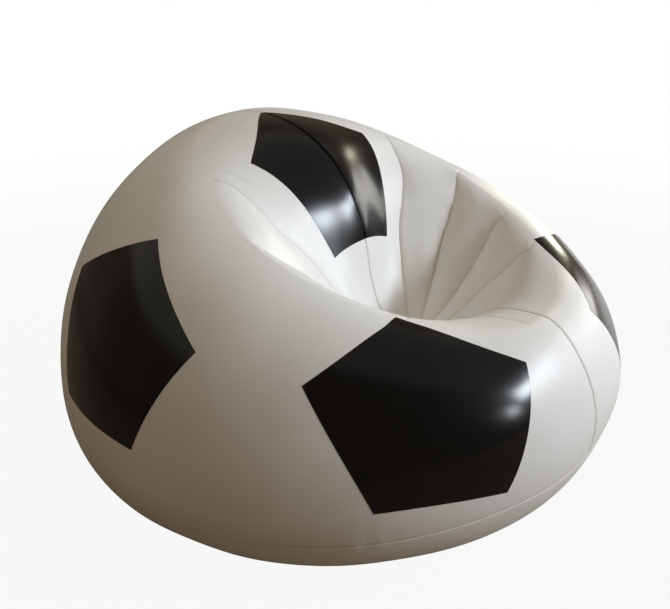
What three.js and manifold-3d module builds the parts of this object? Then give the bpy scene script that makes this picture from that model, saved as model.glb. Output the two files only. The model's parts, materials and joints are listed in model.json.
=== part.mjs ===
// An inflatable football armchair: a ball of welded PVC sheet with a bucket seat pressed into it.
// Millimetres, +Z up, the floor at z = 0. The front faces -Y and the sitter's right hand is -X.
// Outside are two mirrored wall panels welded along the middle plane, closed below by a bottom panel.
// The seat bowl is lined with lobes, welded to the walls at the rim and to each other at creases,
// where tie webs hold them down. A round air valve sits low on the back, at the left.
import * as THREE from "three";
import { mergeVertices } from "three/addons/utils/BufferGeometryUtils.js";
import Module from "manifold-3d";

const wasm = await Module();
wasm.setup();

// Overall form. Each ring round the chair has a front, a side and a rear height.
const bodyWidth = 1100;
const bodyDepth = 1008;
const floorRadius = 379;
const girthHeightFront = 173;
const girthHeightSide = 163;
const girthHeightRear = 254;
const rimWidth = 612;
const rimDepth = 640;
const rimSetForward = 72;
const rimHeightFront = 343;
const rimHeightSide = 461;
const rimHeightRear = 605;
const seatSetForward = 151;
const seatHeight = 234;

// How full each stretch of the wall is: the reach of its curve's handles.
const floorHandleShare = 0.569;
const underGirthHandleShare = 0.483;
const overGirthHandleShares = { front: 0.391, side: 0.534, rear: 0.497 };
const underRimHandleShares = { front: 0.507, side: 0.537, rear: 0.468 };
const lipHandleShares = { front: 0.539, side: 0.158, rear: 0.94 };
const seatHandleShares = { front: 0.364, side: 0.369, rear: 0.466 };

// PVC sheet and its welds.
const sheetGauge = 0.4;
const weldGap = 0.3;
const weldFinWidth = 8;

// Places on the skin are a turn, 0 at the front and 1 at the rear of the right half, and a
// station up the meridian: 0 floor centre, 1 floor edge, 2 girth, 3 rim, 4 seat centre.
const baseSeamShare = 1.8;
const rimSeamShare = 3;
const finEndShare = 3.75;
const patchEdgeShare = 3.82;
const lobeEndShare = 3.9;
const floorRowShares = [1, 1.17, 1.34, 1.5, 1.66, baseSeamShare];
const wallRowShares = [baseSeamShare, 1.89, 2, 2.16, 2.31, 2.46, 2.61, 2.76, 2.9, rimSeamShare];
const webRowShares = [3.1, 3.21, 3.33, 3.46, 3.6, finEndShare];
const patchRowShares = [3.97, lobeEndShare, patchEdgeShare];
const lobeRowShares = [rimSeamShare, ...webRowShares, patchEdgeShare, lobeEndShare];
const skinRowShares = [...wallRowShares, ...lobeRowShares.slice(1)];
const columnCounts = [6, 4, 4, 4, 7];

// Creases where the tie webs pull the bowl in.
const creaseDepth = 13;
const creaseTurnShares = [0.267, 0.389, 0.517, 0.666];
const creaseSpreadShare = 0.036;
const creaseColumnShare = 0.02;
const creaseStartShares = [3.02, 3.3];
const creaseEndShares = [3.6, patchEdgeShare];

// Tie webs.
const webFlangeWidth = 16;
const webEdgeBow = 45;
const airHoleRadius = 34;
const airHolePitch = 105;
const airHoleEdge = 22;
const airHoleSegments = 9;

// Printed pentagons: each corner is a turn and a station, then the bow of the edge that starts there.
const inkGauge = 0.3;
const inkCutterDepth = 18;
const inkEdgeSteps = 4;
const inkRingShares = [0.4, 0.75, 1];
const frontPentagonShares = [
  [0.283, 3.05, 0, 0.055],
  [0.094, 2.675, -0.005, 0],
  [0.131, 1.955, 0, 0.024],
  [0.256, 2.04, -0.01, 0],
  [0.342, 2.545, -0.008, 0],
];
const sidePentagonShares = [
  [0.6, 2.74, -0.006, 0],
  [0.453, 2.525, 0, 0],
  [0.486, 2.12, 0, 0],
  [0.608, 2.095, 0, 0],
  [0.681, 2.42, 0, 0],
];
const backPentagonShares = [
  [1, 3.03, 0, 0.013],
  [0.767, 3.14, 0, 0],
  [0.774, 3.54, 0, 0],
  [1.23, 3.54, 0.024, 0],
  [1.238, 3.125, 0, 0.026],
];
const rearPentagonShares = [
  [1, 2.5, 0, 0],
  [0.9, 2.3, 0, 0],
  [0.944, 1.95, 0, 0],
  [1.056, 1.95, 0, 0],
  [1.1, 2.3, 0, 0],
];

// Air valve, in its own frame: +Z out of the chair, z = 0 on the outer face of the skin.
const valveColumn = 3;
const valveRow = 2;
const valveBore = 26;
const neckWall = 3.5;
const neckHeight = 4;
const baseFlangeRadius = 28;
const baseFlangeThickness = 1.2;
const skinHoleClearance = 0.5;
const runningClearance = 0.4;
const seatingGap = 0.3;
const sealThickness = 1;
const insertWall = 2.4;
const insertLength = 17.6;
const collarRadius = 18.5;
const collarThickness = 3;
const gripNotchRadius = 1.4;
const gripNotches = 10;
const flapRadius = 11.5;
const flapThickness = 0.8;
const capRadius = 14;
const capThickness = 2;
const plugLength = 4;
const plugTaper = 1.3;
const strapWidth = 7;
const strapThickness = 1.2;
const strapReach = 21.2;
const strapRingWidth = 3.7;
const strapHingeGap = 0.8;
const roundSegments = 28;
const notchSegments = 8;
const cutOverrun = 2;

const white = { color: 0xf1efea, roughness: 0.32, metalness: 0 };
const black = { color: 0x0c0c0d, roughness: 0.2, metalness: 0 };
const clear = { color: 0xd9dde0, roughness: 0.35, metalness: 0 };
const rubber = { color: 0x3a3b3d, roughness: 0.6, metalness: 0 };

// A value that runs smoothly from the front over the side to the rear.
function around(angle, front, side, rear) {
  const cosine = Math.cos(angle);
  const lean = (front - rear) / 2;
  const mean = (front + rear) / 2;
  return side + lean * cosine + (mean - side) * cosine * cosine;
}

function aroundShares(angle, shares) {
  return around(angle, shares.front, shares.side, shares.rear);
}

// A point moved level, by a share of the way to another point.
function levelTowards(from, to, share) {
  return new THREE.Vector3(from.x + (to.x - from.x) * share, from.y + (to.y - from.y) * share, from.z);
}

// The four key points of a meridian.
function meridianKeys(angle) {
  const east = -Math.sin(angle);
  const north = -Math.cos(angle);
  const girthHeight = around(angle, girthHeightFront, girthHeightSide, girthHeightRear);
  const rimHeight = around(angle, rimHeightFront, rimHeightSide, rimHeightRear);
  return {
    floor: new THREE.Vector3(east * floorRadius, north * floorRadius, 0),
    girth: new THREE.Vector3((east * bodyWidth) / 2, (north * bodyDepth) / 2, girthHeight),
    rim: new THREE.Vector3((east * rimWidth) / 2, (north * rimDepth) / 2 - rimSetForward, rimHeight),
    seat: new THREE.Vector3(0, -seatSetForward, seatHeight),
  };
}

// The stretch of a meridian that starts at a whole station, as one cubic curve.
function meridianCurve(angle, stretch) {
  const { floor, girth, rim, seat } = meridianKeys(angle);
  if (stretch === 1) {
    const drop = girth.clone().setZ(girth.z * (1 - underGirthHandleShare));
    return new THREE.CubicBezierCurve3(floor, levelTowards(floor, girth, floorHandleShare), drop, girth);
  }
  if (stretch === 2) {
    const lift = (rim.z - girth.z) * aroundShares(angle, overGirthHandleShares);
    const shoulder = levelTowards(rim, girth, aroundShares(angle, underRimHandleShares));
    return new THREE.CubicBezierCurve3(girth, girth.clone().setZ(girth.z + lift), shoulder, rim);
  }
  const lip = levelTowards(rim, seat, aroundShares(angle, lipHandleShares));
  const hollow = levelTowards(seat, rim, aroundShares(angle, seatHandleShares));
  return new THREE.CubicBezierCurve3(rim, lip, hollow, seat);
}

function uncreasedPoint(angle, station) {
  if (station <= 1) return meridianKeys(angle).floor.multiplyScalar(station);
  const stretch = Math.min(Math.floor(station), 3);
  return meridianCurve(angle, stretch).getPoint(station - stretch);
}

// Unit directions at a point of the surface, square to each other: out of the skin, round the
// chair, and up the skin.
function surfaceFrame(angle, station) {
  const step = 1e-4;
  const along = uncreasedPoint(angle, station + step).sub(uncreasedPoint(angle, station - step));
  const round = uncreasedPoint(angle + step, station).sub(uncreasedPoint(angle - step, station));
  const outward = new THREE.Vector3().crossVectors(along, round).normalize();
  const up = new THREE.Vector3().crossVectors(round, outward).normalize();
  return { outward, round: round.normalize(), up };
}

// How deep the creases are at a place on the skin.
function creaseAt(angle, station) {
  const { smoothstep } = THREE.MathUtils;
  const start = smoothstep(station, ...creaseStartShares);
  const end = 1 - smoothstep(station, ...creaseEndShares);
  const turn = Math.abs(Math.atan2(Math.sin(angle), Math.cos(angle))) / Math.PI;
  const nearest = Math.min(...creaseTurnShares.map((crease) => Math.abs(turn - crease)));
  return creaseDepth * start * end * Math.exp(-nearest / creaseSpreadShare);
}

// The level way round the chair, square to the upright plane of a meridian's bowl stretch.
function acrossBowl(angle) {
  const { seat, rim } = meridianKeys(angle);
  return new THREE.Vector3(rim.y - seat.y, seat.x - rim.x, 0).normalize();
}

// The way a crease sinks: out of the skin, but kept in the upright plane of its web.
function creaseDirection(angle, outward) {
  const across = acrossBowl(angle);
  return outward.clone().addScaledVector(across, -outward.dot(across)).normalize();
}

// A point of the chair's surface, moved out of the skin by a height.
function surfacePoint(angle, station, height = 0) {
  const { outward } = surfaceFrame(angle, station);
  const place = uncreasedPoint(angle, station).addScaledVector(outward, height);
  return place.addScaledVector(creaseDirection(angle, outward), -creaseAt(angle, station));
}

// Column angles of the right half, from the front seam to the rear seam, close beside each crease.
function halfColumns() {
  const stops = [0, ...creaseTurnShares, 1];
  const turns = [0];
  columnCounts.forEach((count, gap) => {
    const first = gap === 0;
    const last = gap === columnCounts.length - 1;
    const from = stops[gap] + (first ? 0 : creaseColumnShare);
    const to = stops[gap + 1] - (last ? 0 : creaseColumnShare);
    const inner = count - (first ? 0 : 1) - (last ? 0 : 1);
    if (!first) turns.push(from);
    for (let step = 1; step <= inner; step += 1) turns.push(from + ((to - from) * step) / inner);
    if (!last) turns.push(stops[gap + 1]);
  });
  return turns.map((turn) => turn * Math.PI);
}

const rightColumns = halfColumns();
const leftColumns = rightColumns.map((angle) => -angle).reverse();

// The whole numbers from one to another, both included.
function countUp(from, to) {
  return Array.from({ length: to - from + 1 }, (_, i) => from + i);
}

function closed(ring) {
  return [...ring, ring[0]];
}

// A thin sheet: points that each have an outer and an inner place, and faces between them.
class Sheet {
  constructor() {
    this.outer = [];
    this.inner = [];
    this.faces = [];
  }

  point(outer, inner) {
    this.outer.push(outer);
    this.inner.push(inner);
    return this.outer.length - 1;
  }

  // Rows run up and columns run round, so a quad's corners are named from its lower left.
  quad(lowerLeft, lowerRight, upperRight, upperLeft) {
    this.faces.push([lowerLeft, upperLeft, upperRight], [lowerLeft, upperRight, lowerRight]);
  }

  fan(centre, ring) {
    ring.forEach((point, i) => this.faces.push([centre, ring[(i + 1) % ring.length], point]));
  }

  strip(lower, upper) {
    for (let i = 0; i + 1 < lower.length; i += 1) {
      this.quad(lower[i], lower[i + 1], upper[i + 1], upper[i]);
    }
  }

  // The closed body: both faces, and a wall round every open edge.
  geometry() {
    const count = this.outer.length;
    const edges = new Set(this.faces.flatMap(([a, b, c]) => [`${a} ${b}`, `${b} ${c}`, `${c} ${a}`]));
    const index = [];
    for (const [a, b, c] of this.faces) {
      index.push(a, b, c, count + a, count + c, count + b);
      for (const [from, to] of [[a, b], [b, c], [c, a]]) {
        if (edges.has(`${to} ${from}`)) continue;
        index.push(to, from, count + from, to, count + from, count + to);
      }
    }
    const places = [...this.outer, ...this.inner].flatMap((place) => place.toArray());
    const made = new THREE.BufferGeometry();
    made.setAttribute("position", new THREE.Float32BufferAttribute(places, 3));
    made.setIndex(index);
    return made;
  }
}

// The flat place for the valve: one cell of the left half, pressed level by the valve's flange.
function valvePlace() {
  const corners = [0, 1].flatMap((right) =>
    [0, 1].map((up) => surfacePoint(leftColumns[valveColumn + right], skinRowShares[valveRow + up])),
  );
  const centre = new THREE.Vector3();
  for (const corner of corners) centre.addScaledVector(corner, 1 / corners.length);
  const rising = corners[3].clone().sub(corners[0]);
  const falling = corners[2].clone().sub(corners[1]);
  const outward = new THREE.Vector3().crossVectors(falling, rising).normalize();
  if (outward.dot(centre) < 0) outward.negate();
  return { centre, outward };
}

const valve = valvePlace();

function onValveCell(column, row) {
  return column >= valveColumn && column <= valveColumn + 1 && row >= valveRow && row <= valveRow + 1;
}

// A vertex of a skin half, at a height over its outer face.
function skinVertex(side, column, row, height) {
  const columns = side.columns;
  if (side.hasValve && onValveCell(column, row)) {
    const place = surfacePoint(columns[column], skinRowShares[row]);
    const rise = place.clone().sub(valve.centre).dot(valve.outward);
    return place.addScaledVector(valve.outward, height - rise);
  }
  return surfacePoint(columns[column], skinRowShares[row], height);
}

const right = { columns: rightColumns, hasValve: false };
const left = { columns: leftColumns, hasValve: true };

// Half the space between two welded edges: a crease's also holds the edge of its web.
const seamHalfGap = weldGap / 2;
const creaseHalfGap = sheetGauge / 2 + weldGap;

// One panel of a side, from a column to a column and from a row to a row, with weld fins folded
// inwards. Fins run down its first column, along its first row and up its last column, from the
// row where they end, and on along its last row where the panel is closed all round.
function panelSheet(side, columns, rows, finsEnd) {
  const sheet = new Sheet();
  const [firstColumn, lastColumn] = columns;
  const [firstRow, lastRow] = rows;
  const endColumn = side.columns.length - 1;
  const closedRound = finsEnd === lastRow;

  // The move that takes a point a distance in from a side seam, and a distance off a row's seam.
  function moveOff(frame, aside, fromSide, fromRow) {
    if (fromSide === 0) return frame.up.clone().multiplyScalar(fromRow);
    if (fromRow === 0) return aside.clone().multiplyScalar(fromSide);
    const left = (fromSide - fromRow * frame.up.dot(aside)) / frame.round.dot(aside);
    return frame.up.clone().multiplyScalar(fromRow).addScaledVector(frame.round, left);
  }

  // How a vertex shifts off its seams, where a fin's inner face lies, and the way the fin stands.
  function offsets(column, row) {
    const angle = side.columns[column];
    const frame = surfaceFrame(angle, skinRowShares[row]);
    const onSide = column === firstColumn || column === lastColumn;
    const halfGap = column === 0 || column === endColumn ? seamHalfGap : creaseHalfGap;
    const sideWay = onSide ? 1 : 0;
    const rowWay = row === firstRow ? 1 : closedRound && row === lastRow ? -1 : 0;
    const aside = acrossBowl(angle).multiplyScalar(column === firstColumn ? 1 : -1);
    const foldSide = row <= finsEnd ? sideWay * sheetGauge : 0;
    const shift = moveOff(frame, aside, sideWay * halfGap, rowWay * seamHalfGap);
    const fold = moveOff(frame, aside, foldSide, rowWay * sheetGauge);
    let finWay = onSide ? creaseDirection(angle, frame.outward) : frame.outward;
    if (onSide && rowWay !== 0) {
      finWay = new THREE.Vector3().crossVectors(aside, frame.up).normalize();
      if (finWay.dot(frame.outward) < 0) finWay.negate();
    }
    return { shift, fold, finWay };
  }

  function vertex(column, row) {
    const { shift, fold } = offsets(column, row);
    const outer = skinVertex(side, column, row, 0).add(shift);
    const inner = skinVertex(side, column, row, -sheetGauge).add(shift).add(fold);
    return sheet.point(outer, inner);
  }

  function finTip([column, row]) {
    const { shift, fold, finWay } = offsets(column, row);
    const outer = skinVertex(side, column, row, 0).add(shift).addScaledVector(finWay, -weldFinWidth);
    return sheet.point(outer, outer.clone().add(fold));
  }

  const columnList = countUp(firstColumn, lastColumn);
  const grid = new Map(countUp(firstRow, lastRow).map((row) => [row, columnList.map((c) => vertex(c, row))]));
  for (let row = firstRow; row < lastRow; row += 1) sheet.strip(grid.get(row), grid.get(row + 1));

  const edge = [
    ...countUp(firstRow + 1, finsEnd).reverse().map((row) => [firstColumn, row]),
    ...columnList.map((column) => [column, firstRow]),
    ...countUp(firstRow + 1, finsEnd).map((row) => [lastColumn, row]),
  ];
  if (closedRound) edge.push(...columnList.slice(1, -1).reverse().map((column) => [column, lastRow]));
  const tips = edge.map(finTip);
  const feet = edge.map(([column, row]) => grid.get(row)[column - firstColumn]);
  if (closedRound) sheet.strip(closed(tips), closed(feet));
  else sheet.strip(tips, feet);
  return sheet.geometry();
}

// All columns round the chair, for the pieces that cross the middle plane.
const roundColumns = [...leftColumns.slice(0, -1), ...rightColumns.slice(0, -1)];

// The bottom panel: flat where it rests, then up to its own fin at the base seam.
function bottomPanel() {
  const sheet = new Sheet();
  const upright = new THREE.Vector3(0, 0, 1);

  function vertex(angle, station) {
    const outer = surfacePoint(angle, station);
    const inner = surfacePoint(angle, station, -sheetGauge);
    if (station === 1) inner.copy(outer).addScaledVector(upright, sheetGauge);
    if (station === baseSeamShare) {
      const { up } = surfaceFrame(angle, station);
      outer.addScaledVector(up, -weldGap / 2);
      inner.addScaledVector(up, -weldGap / 2 - sheetGauge);
    }
    return sheet.point(outer, inner);
  }

  function finTip(angle) {
    const { outward, up } = surfaceFrame(angle, baseSeamShare);
    const outer = surfacePoint(angle, baseSeamShare, -weldFinWidth).addScaledVector(up, -weldGap / 2);
    return sheet.point(outer, outer.clone().addScaledVector(up, -sheetGauge));
  }

  const rings = floorRowShares.map((station) => roundColumns.map((angle) => vertex(angle, station)));
  rings.push(roundColumns.map((angle) => finTip(angle)));
  const centre = sheet.point(new THREE.Vector3(), upright.clone().multiplyScalar(sheetGauge));
  sheet.fan(centre, rings[0].toReversed());
  for (let ring = 0; ring + 1 < rings.length; ring += 1) {
    sheet.strip(closed(rings[ring]), closed(rings[ring + 1]));
  }
  return sheet.geometry();
}

// The round patch welded under the inner ends of both halves, at the middle of the seat.
function seatPatch() {
  const sheet = new Sheet();
  const depth = -sheetGauge - weldGap;
  const vertex = (angle, station) =>
    sheet.point(surfacePoint(angle, station, depth), surfacePoint(angle, station, depth - sheetGauge));
  const rings = patchRowShares.map((station) => roundColumns.map((angle) => vertex(angle, station)));
  const drop = (height) => meridianKeys(0).seat.add(new THREE.Vector3(0, 0, height));
  const centre = sheet.point(drop(depth), drop(depth - sheetGauge));
  sheet.fan(centre, rings[0]);
  for (let ring = 0; ring + 1 < rings.length; ring += 1) {
    sheet.strip(closed(rings[ring + 1]), closed(rings[ring]));
  }
  return sheet.geometry();
}

// A mesh geometry as a solid for joining and cutting, and back.
function toSolid(geometry) {
  const bare = new THREE.BufferGeometry().setAttribute("position", geometry.getAttribute("position"));
  bare.setIndex(geometry.index);
  const merged = mergeVertices(bare, 1e-4);
  const vertProperties = new Float32Array(merged.getAttribute("position").array);
  const triVerts = new Uint32Array(merged.index.array);
  return new wasm.Manifold(new wasm.Mesh({ numProp: 3, vertProperties, triVerts }));
}

function toGeometry(solid) {
  const mesh = solid.getMesh();
  const made = new THREE.BufferGeometry();
  made.setAttribute("position", new THREE.BufferAttribute(new Float32Array(mesh.vertProperties), 3));
  made.setIndex(new THREE.BufferAttribute(new Uint32Array(mesh.triVerts), 1));
  return made;
}

// Turns geometry made in the valve's frame into the chair's frame.
function valveMatrix() {
  const turn = new THREE.Quaternion().setFromUnitVectors(new THREE.Vector3(0, 0, 1), valve.outward);
  return new THREE.Matrix4().compose(valve.centre, turn, new THREE.Vector3(1, 1, 1));
}

function skinHole() {
  const radius = valveBore / 2 + neckWall + skinHoleClearance;
  const length = 2 * (sheetGauge + cutOverrun);
  const drill = new THREE.CylinderGeometry(radius, radius, length, roundSegments).rotateX(Math.PI / 2);
  return toSolid(drill.applyMatrix4(valveMatrix()));
}

// A tie web: an upright sheet from a crease of the bowl down to the floor, with air holes.
// Its outline is drawn in its own plane: distance from the seat's axis, then height.
function webOutline(angle) {
  const seat = meridianKeys(0).seat;
  const foot = sheetGauge + weldGap;
  const top = webRowShares.map((station) => {
    const place = surfacePoint(angle, station, -sheetGauge - weldGap);
    return new THREE.Vector2(Math.hypot(place.x - seat.x, place.y - seat.y), place.z);
  });
  const shape = new THREE.Shape();
  const outerEnd = top[0];
  const innerEnd = top[top.length - 1];
  shape.moveTo(innerEnd.x, foot);
  shape.lineTo(outerEnd.x, foot);
  shape.quadraticCurveTo(outerEnd.x - webEdgeBow, (outerEnd.y + foot) / 2, outerEnd.x, outerEnd.y);
  for (const point of top.slice(1)) shape.lineTo(point.x, point.y);
  shape.closePath();
  addAirHoles(shape, top, foot);
  return { shape, innerEnd, outerEnd, foot };
}

function addAirHoles(shape, top, foot) {
  const start = top[top.length - 1].x + airHoleEdge + airHoleRadius;
  const end = top[0].x - webEdgeBow / 2 - airHoleEdge - airHoleRadius;
  const count = Math.max(1, 1 + Math.floor((end - start) / airHolePitch));
  for (let i = 0; i < count; i += 1) {
    const x = count === 1 ? (start + end) / 2 : start + ((end - start) * i) / (count - 1);
    const hole = new THREE.Path();
    hole.absarc(x, foot + airHoleEdge + airHoleRadius * 2, airHoleRadius, 0, 2 * Math.PI, true);
    shape.holes.push(hole);
  }
}

function tieWeb(angle) {
  const { shape, innerEnd, outerEnd, foot } = webOutline(angle);
  const sheet = new THREE.ExtrudeGeometry(shape, {
    depth: sheetGauge,
    bevelEnabled: false,
    curveSegments: airHoleSegments,
  }).translate(0, 0, -sheetGauge / 2);
  const length = outerEnd.x - innerEnd.x;
  const flange = new THREE.BoxGeometry(length, sheetGauge, webFlangeWidth);
  flange.translate(innerEnd.x + length / 2, foot + sheetGauge / 2, 0);
  const web = toGeometry(toSolid(sheet).add(toSolid(flange)));
  const seat = meridianKeys(0).seat;
  const rim = meridianKeys(angle).rim;
  web.rotateX(Math.PI / 2);
  web.rotateZ(Math.atan2(rim.y - seat.y, rim.x - seat.x));
  return web.translate(seat.x, seat.y, 0);
}

// A layer of ink over a whole skin half, on the skin's own facets.
function inkLayer(side) {
  const sheet = new Sheet();
  const low = weldGap;
  const high = weldGap + inkGauge;
  const last = side.columns.length - 1;
  const rows = skinRowShares.map((_, row) =>
    side.columns.map((__, column) => {
      const shift = new THREE.Vector3();
      if (column === 0) shift.addScaledVector(acrossBowl(side.columns[column]), seamHalfGap);
      if (column === last) shift.addScaledVector(acrossBowl(side.columns[column]), -seamHalfGap);
      const outer = skinVertex(side, column, row, high).add(shift);
      return sheet.point(outer, skinVertex(side, column, row, low).add(shift));
    }),
  );
  for (let row = 0; row + 1 < rows.length; row += 1) sheet.strip(rows[row], rows[row + 1]);
  return toSolid(sheet.geometry());
}

// A block over and under the surface, with a pentagon's outline.
function pentagonBlock(corners) {
  const sheet = new Sheet();
  const places = corners.map(([turn, station]) => new THREE.Vector2(turn, station));
  const middle = new THREE.Vector2();
  for (const place of places) middle.addScaledVector(place, 1 / places.length);
  const outline = corners.flatMap(([, , turnBow, stationBow], i) => {
    const bow = new THREE.Vector2(turnBow, stationBow);
    const next = places[(i + 1) % places.length];
    return Array.from({ length: inkEdgeSteps }, (_, step) => {
      const share = step / inkEdgeSteps;
      return places[i].clone().lerp(next, share).addScaledVector(bow, 4 * share * (1 - share));
    });
  });
  const vertex = (place) => {
    const angle = place.x * Math.PI;
    const outer = surfacePoint(angle, place.y, inkCutterDepth);
    return sheet.point(outer, surfacePoint(angle, place.y, -inkCutterDepth));
  };
  const ringAt = (share) => outline.map((place) => vertex(middle.clone().lerp(place, share)));
  const rings = inkRingShares.map(ringAt);
  const centre = vertex(middle);
  const turn = THREE.ShapeUtils.area(places) > 0;
  const ordered = turn ? rings : rings.map((ring) => ring.toReversed());
  sheet.fan(centre, ordered[0]);
  for (let ring = 0; ring + 1 < ordered.length; ring += 1) {
    sheet.strip(closed(ordered[ring + 1]), closed(ordered[ring]));
  }
  return toSolid(sheet.geometry());
}

const inkLayers = { right: inkLayer(right), left: inkLayer(left) };

function mirrored(corners) {
  return corners.map(([turn, station, turnBow, stationBow]) => [-turn, station, -turnBow, stationBow]);
}

// A ring or disc turned about the valve's axis, from a closed profile of radius and height pairs.
function turned(profile) {
  const points = profile.map(([radius, height]) => new THREE.Vector2(radius, height));
  const made = new THREE.LatheGeometry(points, roundSegments);
  return made.rotateX(Math.PI / 2);
}

function ring(innerRadius, outerRadius, low, high) {
  return turned([
    [innerRadius, low],
    [outerRadius, low],
    [outerRadius, high],
    [innerRadius, high],
    [innerRadius, low],
  ]);
}

// Heights and radii in the valve's frame that more than one of its pieces uses.
const boreRadius = valveBore / 2;
const neckRadius = boreRadius + neckWall;
const flangeTop = -sheetGauge - seatingGap;
const sealLow = neckHeight + seatingGap;
const collarLow = sealLow + sealThickness + seatingGap;
const collarHigh = collarLow + collarThickness;
const sleeveRadius = boreRadius - runningClearance;
const sleeveBore = sleeveRadius - insertWall;
const sleeveLow = collarLow - insertLength;
const capLow = collarHigh + seatingGap;
const strapRingInner = neckRadius + seatingGap;
const strapRingOuter = strapRingInner + strapRingWidth;

function valveBase() {
  const flangeLow = flangeTop - baseFlangeThickness;
  return turned([
    [boreRadius, flangeLow],
    [baseFlangeRadius, flangeLow],
    [baseFlangeRadius, flangeTop],
    [neckRadius, flangeTop],
    [neckRadius, neckHeight],
    [boreRadius, neckHeight],
    [boreRadius, flangeLow],
  ]);
}

// The screw-in insert: a gripped collar over a sleeve that hangs into the chair.
function valveInsert() {
  const body = turned([
    [sleeveBore, sleeveLow],
    [sleeveRadius, sleeveLow],
    [sleeveRadius, collarLow],
    [collarRadius, collarLow],
    [collarRadius, collarHigh],
    [sleeveBore, collarHigh],
    [sleeveBore, sleeveLow],
  ]);
  let solid = toSolid(body);
  const length = collarThickness + 2 * cutOverrun;
  for (let i = 0; i < gripNotches; i += 1) {
    const angle = (2 * Math.PI * (i + 1 / 2)) / gripNotches;
    const notch = new THREE.CylinderGeometry(gripNotchRadius, gripNotchRadius, length, notchSegments);
    notch.rotateX(Math.PI / 2);
    const middle = collarLow + collarThickness / 2;
    notch.translate(Math.cos(angle) * collarRadius, Math.sin(angle) * collarRadius, middle);
    solid = solid.subtract(toSolid(notch));
  }
  return toGeometry(solid);
}

// The non-return flap, hinged at its edge under the sleeve.
function valveFlap() {
  const top = sleeveLow - seatingGap;
  return turned([
    [0, top - flapThickness],
    [flapRadius, top - flapThickness],
    [flapRadius, top],
    [0, top],
  ]);
}

// The cap: a disc with a tapered plug, and a tongue that runs to the strap's living hinge.
function valveCap() {
  const plugRadius = sleeveBore - seatingGap;
  const cap = turned([
    [0, capLow - plugLength],
    [plugRadius - plugTaper, capLow - plugLength],
    [plugRadius, capLow],
    [capRadius, capLow],
    [capRadius, capLow + capThickness],
    [0, capLow + capThickness],
  ]);
  const start = -strapReach + seatingGap;
  const end = -capRadius + cutOverrun;
  const tongue = new THREE.BoxGeometry(end - start, strapWidth, strapThickness);
  tongue.translate((start + end) / 2, 0, capLow + capThickness / 2);
  return toGeometry(toSolid(cap).add(toSolid(tongue)));
}

// The strap's ring lies round the neck under the collar, with a riser up to the living hinge.
function strapRing() {
  const top = seatingGap + strapThickness;
  const riserTop = capLow + (capThickness - strapThickness) / 2 - strapHingeGap;
  const riserFace = -strapReach - strapThickness;
  const lugEnd = -strapRingInner - strapRingWidth / 2;
  const lug = new THREE.BoxGeometry(lugEnd - riserFace, strapWidth, strapThickness);
  lug.translate((lugEnd + riserFace) / 2, 0, seatingGap + strapThickness / 2);
  const riser = new THREE.BoxGeometry(strapThickness, strapWidth, riserTop - seatingGap);
  riser.translate(riserFace + strapThickness / 2, 0, (riserTop + seatingGap) / 2);
  const round = toSolid(ring(strapRingInner, strapRingOuter, seatingGap, top));
  return toGeometry(round.add(toSolid(lug)).add(toSolid(riser)));
}

function sealRing() {
  const outer = neckRadius - seatingGap;
  return ring(boreRadius + seatingGap, outer, sealLow, sealLow + sealThickness);
}

const group = new THREE.Group();

function add(parent, name, geometry, finish) {
  const mesh = new THREE.Mesh(geometry, new THREE.MeshStandardMaterial(finish));
  mesh.name = name;
  parent.add(mesh);
}

// The columns at which the creases stand, with the two middle seams as the first and last.
function creaseColumns(side) {
  const stops = [0, ...creaseTurnShares, 1].map((turn) => turn * Math.PI);
  const isStop = (angle) => stops.some((stop) => Math.abs(Math.abs(angle) - stop) < 1e-9);
  return side.columns.flatMap((angle, column) => (isStop(angle) ? [column] : []));
}

const rimRow = skinRowShares.indexOf(rimSeamShare);
const finEndRow = skinRowShares.indexOf(finEndShare);
const lastRow = skinRowShares.length - 1;
const lastColumn = rightColumns.length - 1;

function wallPanel(side) {
  return panelSheet(side, [0, lastColumn], [0, rimRow], rimRow);
}

add(group, "wall_right", wallPanel(right), white);
add(group, "wall_left", toGeometry(toSolid(wallPanel(left)).subtract(skinHole())), white);

const lobeNames = ["front", "arm_front", "arm_middle", "arm_rear", "back"];
for (const [sideName, side, names] of [
  ["right", right, lobeNames],
  ["left", left, lobeNames.toReversed()],
]) {
  const stops = creaseColumns(side);
  names.forEach((name, i) => {
    const lobe = panelSheet(side, [stops[i], stops[i + 1]], [rimRow, lastRow], finEndRow);
    add(group, `lobe_${name}_${sideName}`, lobe, white);
  });
}
add(group, "bottom_panel", bottomPanel(), white);
add(group, "seat_centre_patch", seatPatch(), white);

const webNames = ["front", "side_front", "side_rear", "rear"];
webNames.forEach((name, i) => {
  const angle = creaseTurnShares[i] * Math.PI;
  add(group, `tie_web_${name}_right`, tieWeb(angle), clear);
  add(group, `tie_web_${name}_left`, tieWeb(-angle), clear);
});

const pentagons = [
  ["pentagon_front_right", inkLayers.right, frontPentagonShares],
  ["pentagon_front_left", inkLayers.left, mirrored(frontPentagonShares)],
  ["pentagon_side_right", inkLayers.right, sidePentagonShares],
  ["pentagon_side_left", inkLayers.left, mirrored(sidePentagonShares)],
  ["pentagon_back_right", inkLayers.right, backPentagonShares],
  ["pentagon_back_left", inkLayers.left, backPentagonShares],
  ["pentagon_rear_right", inkLayers.right, rearPentagonShares],
  ["pentagon_rear_left", inkLayers.left, rearPentagonShares],
];
for (const [name, layer, corners] of pentagons) {
  add(group, name, toGeometry(layer.intersect(pentagonBlock(corners))), black);
}

const valveGroup = new THREE.Group();
valveGroup.applyMatrix4(valveMatrix());
group.add(valveGroup);
add(valveGroup, "valve_base", valveBase(), clear);
add(valveGroup, "valve_seal_ring", sealRing(), rubber);
add(valveGroup, "valve_insert", valveInsert(), clear);
add(valveGroup, "valve_flap", valveFlap(), rubber);
add(valveGroup, "valve_cap", valveCap(), clear);
add(valveGroup, "valve_strap_ring", strapRing(), clear);

export default group;
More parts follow.
